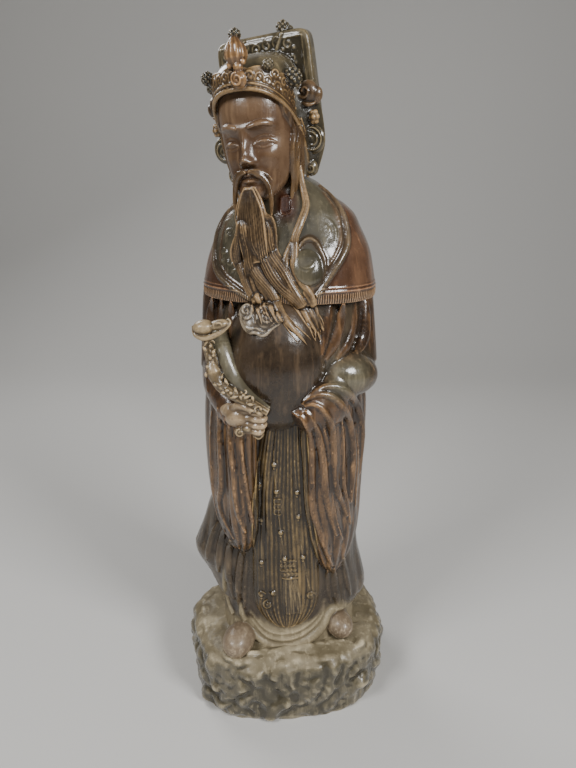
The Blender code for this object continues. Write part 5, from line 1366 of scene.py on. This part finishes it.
def rippled(points, size, seed=0.0, stretch=1.0):
    """Smooth noise over the points; stretch above 1 draws it out along the height."""
    scaled = np.asarray(points) / size
    scaled[:, 2] /= stretch
    return np.array([noise.noise(Vector((x + seed, y, z))) for x, y, z in scaled])


def glaze_material():
    """A glossy glaze that pools dark in hollows, thins to a light colour on ridges and runs in streaks, with
    painted shade that darkens its broad hollows further.
    """
    material = bpy.data.materials.new("glaze")
    material.use_nodes = True
    tree = material.node_tree
    shader = tree.nodes["Principled BSDF"]

    def node(kind, **values):
        made = tree.nodes.new(kind)
        for key, value in values.items():
            setattr(made, key, value)
        return made

    def link(a, b):
        tree.links.new(a, b)

    def attribute(name, output="Fac"):
        return node("ShaderNodeAttribute", attribute_name=name).outputs[output]

    def noise_of(scale, detail, coords, roughness=0.55):
        made = node("ShaderNodeTexNoise")
        made.inputs["Scale"].default_value = scale
        made.inputs["Detail"].default_value = detail
        made.inputs["Roughness"].default_value = roughness
        link(coords, made.inputs["Vector"])
        return made.outputs["Fac"]

    def ranged(value, low, high, to_low=0.0, to_high=1.0):
        made = node("ShaderNodeMapRange", interpolation_type="SMOOTHSTEP")
        link(value, made.inputs["Value"])
        for key, number in zip(("From Min", "From Max", "To Min", "To Max"), (low, high, to_low, to_high)):
            made.inputs[key].default_value = number
        return made.outputs["Result"]

    def sums(operation, *values, clamp=False):
        total = values[0]
        for value in values[1:]:
            made = node("ShaderNodeMath", operation=operation, use_clamp=clamp)
            link(total, made.inputs[0])
            link(value, made.inputs[1])
            total = made.outputs[0]
        return total

    def mixed(factor, a, b, blend="MIX"):
        made = node("ShaderNodeMix", data_type="RGBA", blend_type=blend)
        for key, value in ((0, factor), (6, a), (7, b)):
            if isinstance(value, (float, tuple)):
                made.inputs[key].default_value = value if isinstance(value, float) else (*value, 1.0)
            else:
                link(value, made.inputs[key])
        return made.outputs[2]

    place = node("ShaderNodeTexCoord").outputs["Object"]
    run = node("ShaderNodeMapping")
    run.inputs["Scale"].default_value = (1.0, 1.0, 0.12)
    link(place, run.inputs["Vector"])
    run = run.outputs["Vector"]
    pool = attribute("pool", "Color")
    thin = attribute("thin", "Color")
    edge = attribute("edge")
    swell = attribute("swell")
    cloud = noise_of(20.0, 5.0, place, 0.6)
    streak = noise_of(150.0, 4.0, run, 0.6)
    drip = noise_of(45.0, 3.0, run)
    grain = noise_of(480.0, 3.0, place, 0.65)
    matt = attribute("matt")

    light = sums(
        "ADD",
        ranged(cloud, 0.35, 0.7, 0.0, 0.2),
        ranged(streak, 0.52, 0.72, 0.0, 0.26),
        ranged(drip, 0.54, 0.72, 0.0, 0.16),
        sums("MULTIPLY", ranged(edge, 0.54, 0.85, 0.0, 0.9), ranged(grain, 0.3, 0.6, 0.55, 1.0)),
        ranged(swell, 0.58, 0.95, 0.0, 0.28),
    )
    hollow = ranged(edge, 0.48, 0.2, 0.0, 0.4), ranged(swell, 0.48, 0.25, 0.0, 0.4)
    light = sums("SUBTRACT", light, *hollow, clamp=True)
    body = mixed(light, pool, thin)
    # Painted shade: broad hollows are darkened well below the pooled glaze colour.
    body = mixed(ranged(swell, 0.45, 0.15, 0.0, 0.65), body, mixed(1.0, pool, (0.35, 0.31, 0.29), "MULTIPLY"))
    body = mixed(ranged(grain, 0.62, 0.76, 0.0, 0.4), body, mixed(1.0, pool, (0.5, 0.5, 0.5), "MULTIPLY"))
    body = mixed(ranged(grain, 0.36, 0.26, 0.0, 0.25), body, mixed(0.5, thin, (0.42, 0.38, 0.30)))
    link(body, shader.inputs["Base Color"])
    rough = sums("ADD", ranged(cloud, 0.3, 0.72, 0.16, 0.28), ranged(light, 0.3, 0.9, 0.0, 0.14),
                 ranged(matt, 0.0, 1.0, 0.0, 0.5))
    link(rough, shader.inputs["Roughness"])
    link(ranged(matt, 0.0, 0.7, 0.4, 0.0), shader.inputs["Coat Weight"])
    link(ranged(matt, 0.0, 0.6, 0.55, 0.15), shader.inputs["Specular IOR Level"])
    shader.inputs["Coat Roughness"].default_value = 0.11
    dimple = node("ShaderNodeBump")
    dimple.inputs["Strength"].default_value = 0.35
    dimple.inputs["Distance"].default_value = 0.0008
    link(sums("ADD", noise_of(190.0, 4.0, place), ranged(streak, 0.3, 0.8, 0.0, 0.5)),
         dimple.inputs["Height"])
    link(dimple.outputs["Normal"], shader.inputs["Normal"])
    return material


GLAZE = glaze_material()


HEM_LIGHT = [  # where the front of the robes turns to the pale lower layers: x and height
    (-11.0, 13.5),
    (-7.0, 15.2),
    (-4.5, 15.6),
    (0.0, 14.4),
    (4.5, 15.4),
    (6.5, 17.0),
    (8.5, 17.6),
    (11.0, 15.8),
]


def robes_piece(surface):
    """Robe, outer robe, arms and sleeves with their folds, hem and shoes."""
    inner, outer, arm, sleeve, hems = robe(), outer_robe(), arms(), sleeves(), Clay()
    sleeve.take(second_drape())
    folds(sleeve, surface, FAR_FOLDS, 1.0)
    folds(sleeve, surface, NEAR_FOLDS, 1.1)
    folds(arm, surface, ARM_FOLDS, 0.45)
    folds(outer, surface, SKIRT_FOLDS, 0.8)
    folds(outer, surface, BACK_FOLDS, 0.7, seen_from_side)
    hem(hems, surface)
    toes = shoes()
    body = fused("robes", inner, outer, arm, sleeve, hems, toes, ease=3)
    mesh = body.data
    points = corners(mesh)
    level = points[:, 2]
    turn = np.arctan2(points[:, 0], -points[:, 1])
    below = ramp(66.0 - level, 4.0) * ramp(level - 13.0, 3.0)
    plain = ramp(np.abs(turn) - 1.3, 0.5) + ramp(34.0 - level, 4.0)
    soft = rippled(points, 1.6, 9.0, 14.0)
    shifted(mesh, below * (0.03 * rippled(points, 0.6, 3.0, 12.0) + 0.22 * soft * np.clip(plain, 0, 1)))

    def tone(points, normals):
        groups = [("skirt", inner), ("skirt", outer), ("arm", arm), ("sleeve", sleeve), ("hem", hems)]
        colours = painted(points, groups + [("belly", belly()), ("shoe", toes)])
        x, y, z = points.T
        bend = np.exp(-(((x - 8.6) / 3.4) ** 4) - ((z - 56.2) / 2.6) ** 4) * (y < 0)
        colours = blended(colours, "elbow", bend)
        pale = np.interp(x, *zip(*HEM_LIGHT))
        low = np.clip((pale - z) / 0.6 + 0.5 * rippled(points, 1.2, 6.0), 0, 1) * (y < 1)
        return blended(colours, "hem", low * np.clip(nearness(points, toes) / 0.3, 0, 1))

    finished(body, tone)


def apron_piece(surface):
    front, dangles = Clay(), Clay()
    apron(front, surface)
    beads(dangles, front.surface())
    body = fused("apron", front, dangles)
    finished(body, by_nearness(("apron", front), ("beads", dangles)))


def cape_piece(surface):
    """The cape with its rolled edges, the relief on its lapels and the fringe round its hem."""
    shell, trim, relief, deep = cape(), Clay(), Clay(), Clay()
    collar(trim, relief, surface)
    square = [(-0.9, 79.6), (0.3, 79.7), (0.4, 77.9), (-0.8, 77.7), (-0.9, 79.6)]
    ridge(deep, surface, square, [0.14, 0.14], 1.0, ease=0)
    body = fused("cape", shell, trim, relief, deep)
    mesh = body.data
    points = corners(mesh)
    turn = np.arctan2(points[:, 0], -points[:, 1])
    level = points[:, 2]
    side = np.clip(1 - np.abs(outward(mesh)[:, 2]) * 1.2, 0, 1)
    fringe = ramp(67.75 - level, 0.15) * ramp(level - 66.2, 0.2) * side
    lines = 0.11 * np.exp(-(((level - 68.0) / 0.13) ** 2)) + 0.07 * np.exp(-(((level - 68.5) / 0.1) ** 2))
    outside = 1 - lapel_share(points)
    threads = fringe * (0.09 * np.cos(turn * 200) - 0.03)
    shifted(mesh, threads + lines * outside + 0.06 * rippled(points, 1.4, 5.0, 3.0))

    def tone(points, normals):
        colours = painted(points, [("cape", shell), ("trim", trim), ("lapel", relief), ("recess", deep)])
        x, y, z = points.T
        near_trim = np.clip(1.4 - nearness(points, trim) / 0.15, 0, 1)
        colours = blended(colours, "lapel", lapel_share(points) * (1 - near_trim))
        fringed = ramp(67.9 - z, 0.2)
        colours = blended(colours, "trim", fringed * 0.6)
        opening = np.exp(-(((x + 0.3) / 1.5) ** 4) - ((z - 78.9) / 2.2) ** 4) * (y < -2)
        return blended(colours, "recess", opening)

    finished(body, tone)


def lapel_share(points):
    """1 between the cape's two open edges at the front, 0 outside them."""
    x, y, z = points.T
    edges = []
    for side in (1, -1):
        across, heights = zip(*COLLAR[side][::-1])
        edges.append(np.interp(z, heights, across))
    right, left = edges
    within = ramp(right - x, 0.3) * ramp(x - left, 0.3)
    return within * (y < 0) * ramp(z - 67.2, 0.3)


def beard_piece():
    clasp, locks = Clay(), Clay()
    both = masses()
    pendant(clasp, both)
    both.take(clasp)
    beard(locks, both.surface())
    body = fused("beard", clasp, locks, ease=1)
    finished(body, by_nearness(("pendant", clasp), ("beard", locks)))


def worn(made):
    """A clay from the head's own axes, set in its place on the figure."""
    clay = Clay()
    clay.add(on_head(made.points), made.faces)
    return clay


def head_piece():
    face, hairs = worn(head()), worn(hair())
    neck = on_head([(0, 1.0, -4.0)])[0]
    tube(face, [(-0.4, 0.6, 75.0), (-1.4, -0.6, 80.0), neck], [4.0, 3.4, 3.6])
    body = fused("head", face, hairs, ease=1)
    finished(body, by_nearness(("face", face), ("hair", hairs)))


def crown_piece():
    groups = [(name, worn(made)) for name, made in crown().items()]
    body = fused("crown", *(clay for _, clay in groups), ease=1)
    finished(body, by_nearness(*groups))


def sceptre_piece():
    staff, band, fist = Clay(), Clay(), Clay()
    sceptre(staff, band)
    hand(fist)
    body = fused("sceptre", staff, band, fist, ease=1)
    finished(body, by_nearness(("sceptre", staff), ("cuff", band), ("hand", fist)))


ROCK_RIM = [  # the rolled front edge of the rock's pale top, as x and y
    (-13.2, -5.2),
    (-10.9, -9.3),
    (-7.8, -11.6),
    (-5.2, -11.2),
    (-2.2, -11.0),
    (1.0, -10.2),
    (4.2, -9.6),
    (7.4, -8.8),
    (11.2, -8.2),
    (13.6, -5.0),
]


def rock_piece():
    """The rock with its lumpy wall, its rolled front rim and its pale top."""
    block = rock()
    raised = np.array(block.points)
    raised[:, 2] -= ROCK_HEIGHT
    raised /= PART
    raised[:, 2] += ROCK_TOP_PARTS
    whole = Clay()
    whole.add(raised, block.faces)
    rim = [(x, y, 10.25) for x, y in ROCK_RIM]
    tube(whole, rim, [0.5, 0.8, 0.9, 0.8, 0.5], 0.6, (0, 0, 1))
    for inset, z in ((0.82, 10.9), (0.6, 11.0)):
        wave = [(x * inset, y * inset - 1.2, z + 0.12 * math.sin(3 * x)) for x, y in ROCK_RIM[1:-1]]
        tube(whole, wave, [0.2, 0.55, 0.55, 0.2], 0.6, (0, 0, 1))
    body = fused("rock", whole, ease=6)
    mesh = body.data
    points = corners(mesh)
    wall = ramp(10.2 - points[:, 2], 1.6) * np.clip(points[:, 2] / 1.0, 0, 1)
    knobs = 1.3 * np.abs(rippled(points, 3.0, 1.0)) + 0.45 * np.abs(rippled(points, 1.6, 4.0))
    shifted(mesh, wall * (knobs - 0.45) + (1 - wall) * 0.5 * np.abs(rippled(points, 2.4, 8.0, 0.6)))
    spread(mesh, 5, 0.5)
    points = corners(mesh)
    points[:, 2] = np.maximum(points[:, 2], 0.0)
    mesh.vertices.foreach_set("co", points.ravel())

    def tone(points, normals):
        z = points[:, 2]
        up = np.clip((normals[:, 2] - 0.25) / 0.4 + 0.5 * rippled(points, 1.8, 3.0), 0, 1)
        top = up * ramp(z - 8.4, 1.4)
        return toned("rock", 1 - top) + toned("rock_top", top)

    finished(body, tone)


LIGHTS = [  # name, place, what it points at, size in metres, power in watts
    ("key", (1.15, -1.15, 1.35), (0, 0, 0.5), 0.55, 34.0),
    ("left", (-1.05, -1.0, 1.5), (0, 0, 0.5), 0.6, 22.0),
    ("back", (-0.9, 1.0, 1.5), (0, 0, 0.5), 0.7, 12.0),
    ("fill", (0.3, -2.0, 1.9), (0, 0, 0.3), 1.6, 5.0),
]


def studio():
    """A plain pale floor that curves up behind, and soft lights."""
    shape = bmesh.new()
    rows = []
    bend = [(1.2 + math.sin(a), 1.0 - math.cos(a)) for a in np.linspace(0.15, math.pi / 2, 12)]
    for y, z in [(-6.0, 0.0), (1.2, 0.0), *bend, (2.2, 5.0)]:
        rows.append([shape.verts.new((x, y, z)) for x in (-6.0, 6.0)])
    for a, b in zip(rows, rows[1:]):
        shape.faces.new((a[0], a[1], b[1], b[0]))
    mesh = bpy.data.meshes.new("floor")
    shape.to_mesh(mesh)
    shape.free()
    mesh.shade_smooth()
    floor = bpy.data.objects.new("floor", mesh)
    bpy.context.scene.collection.objects.link(floor)
    plain = bpy.data.materials.new("floor")
    plain.use_nodes = True
    shader = plain.node_tree.nodes["Principled BSDF"]
    shader.inputs["Base Color"].default_value = (0.56, 0.55, 0.53, 1.0)
    shader.inputs["Roughness"].default_value = 0.85
    mesh.materials.append(plain)
    for name, place, aim, size, power in LIGHTS:
        light = bpy.data.lights.new(name, "AREA")
        light.energy = power
        light.size = size
        lamp = bpy.data.objects.new(name, light)
        lamp.location = place
        lamp.rotation_euler = (Vector(aim) - Vector(place)).to_track_quat("-Z", "Y").to_euler()
        bpy.context.scene.collection.objects.link(lamp)
    world = bpy.data.worlds.new("world")
    world.use_nodes = True
    world.node_tree.nodes["Background"].inputs["Color"].default_value = (0.84, 0.83, 0.8, 1.0)
    world.node_tree.nodes["Background"].inputs["Strength"].default_value = 0.15
    bpy.context.scene.world = world


def main():
    surface = masses().surface()
    for piece in (robes_piece, apron_piece, cape_piece):
        piece(surface)
    for piece in (beard_piece, head_piece, crown_piece, sceptre_piece, rock_piece, studio):
        piece()


main()
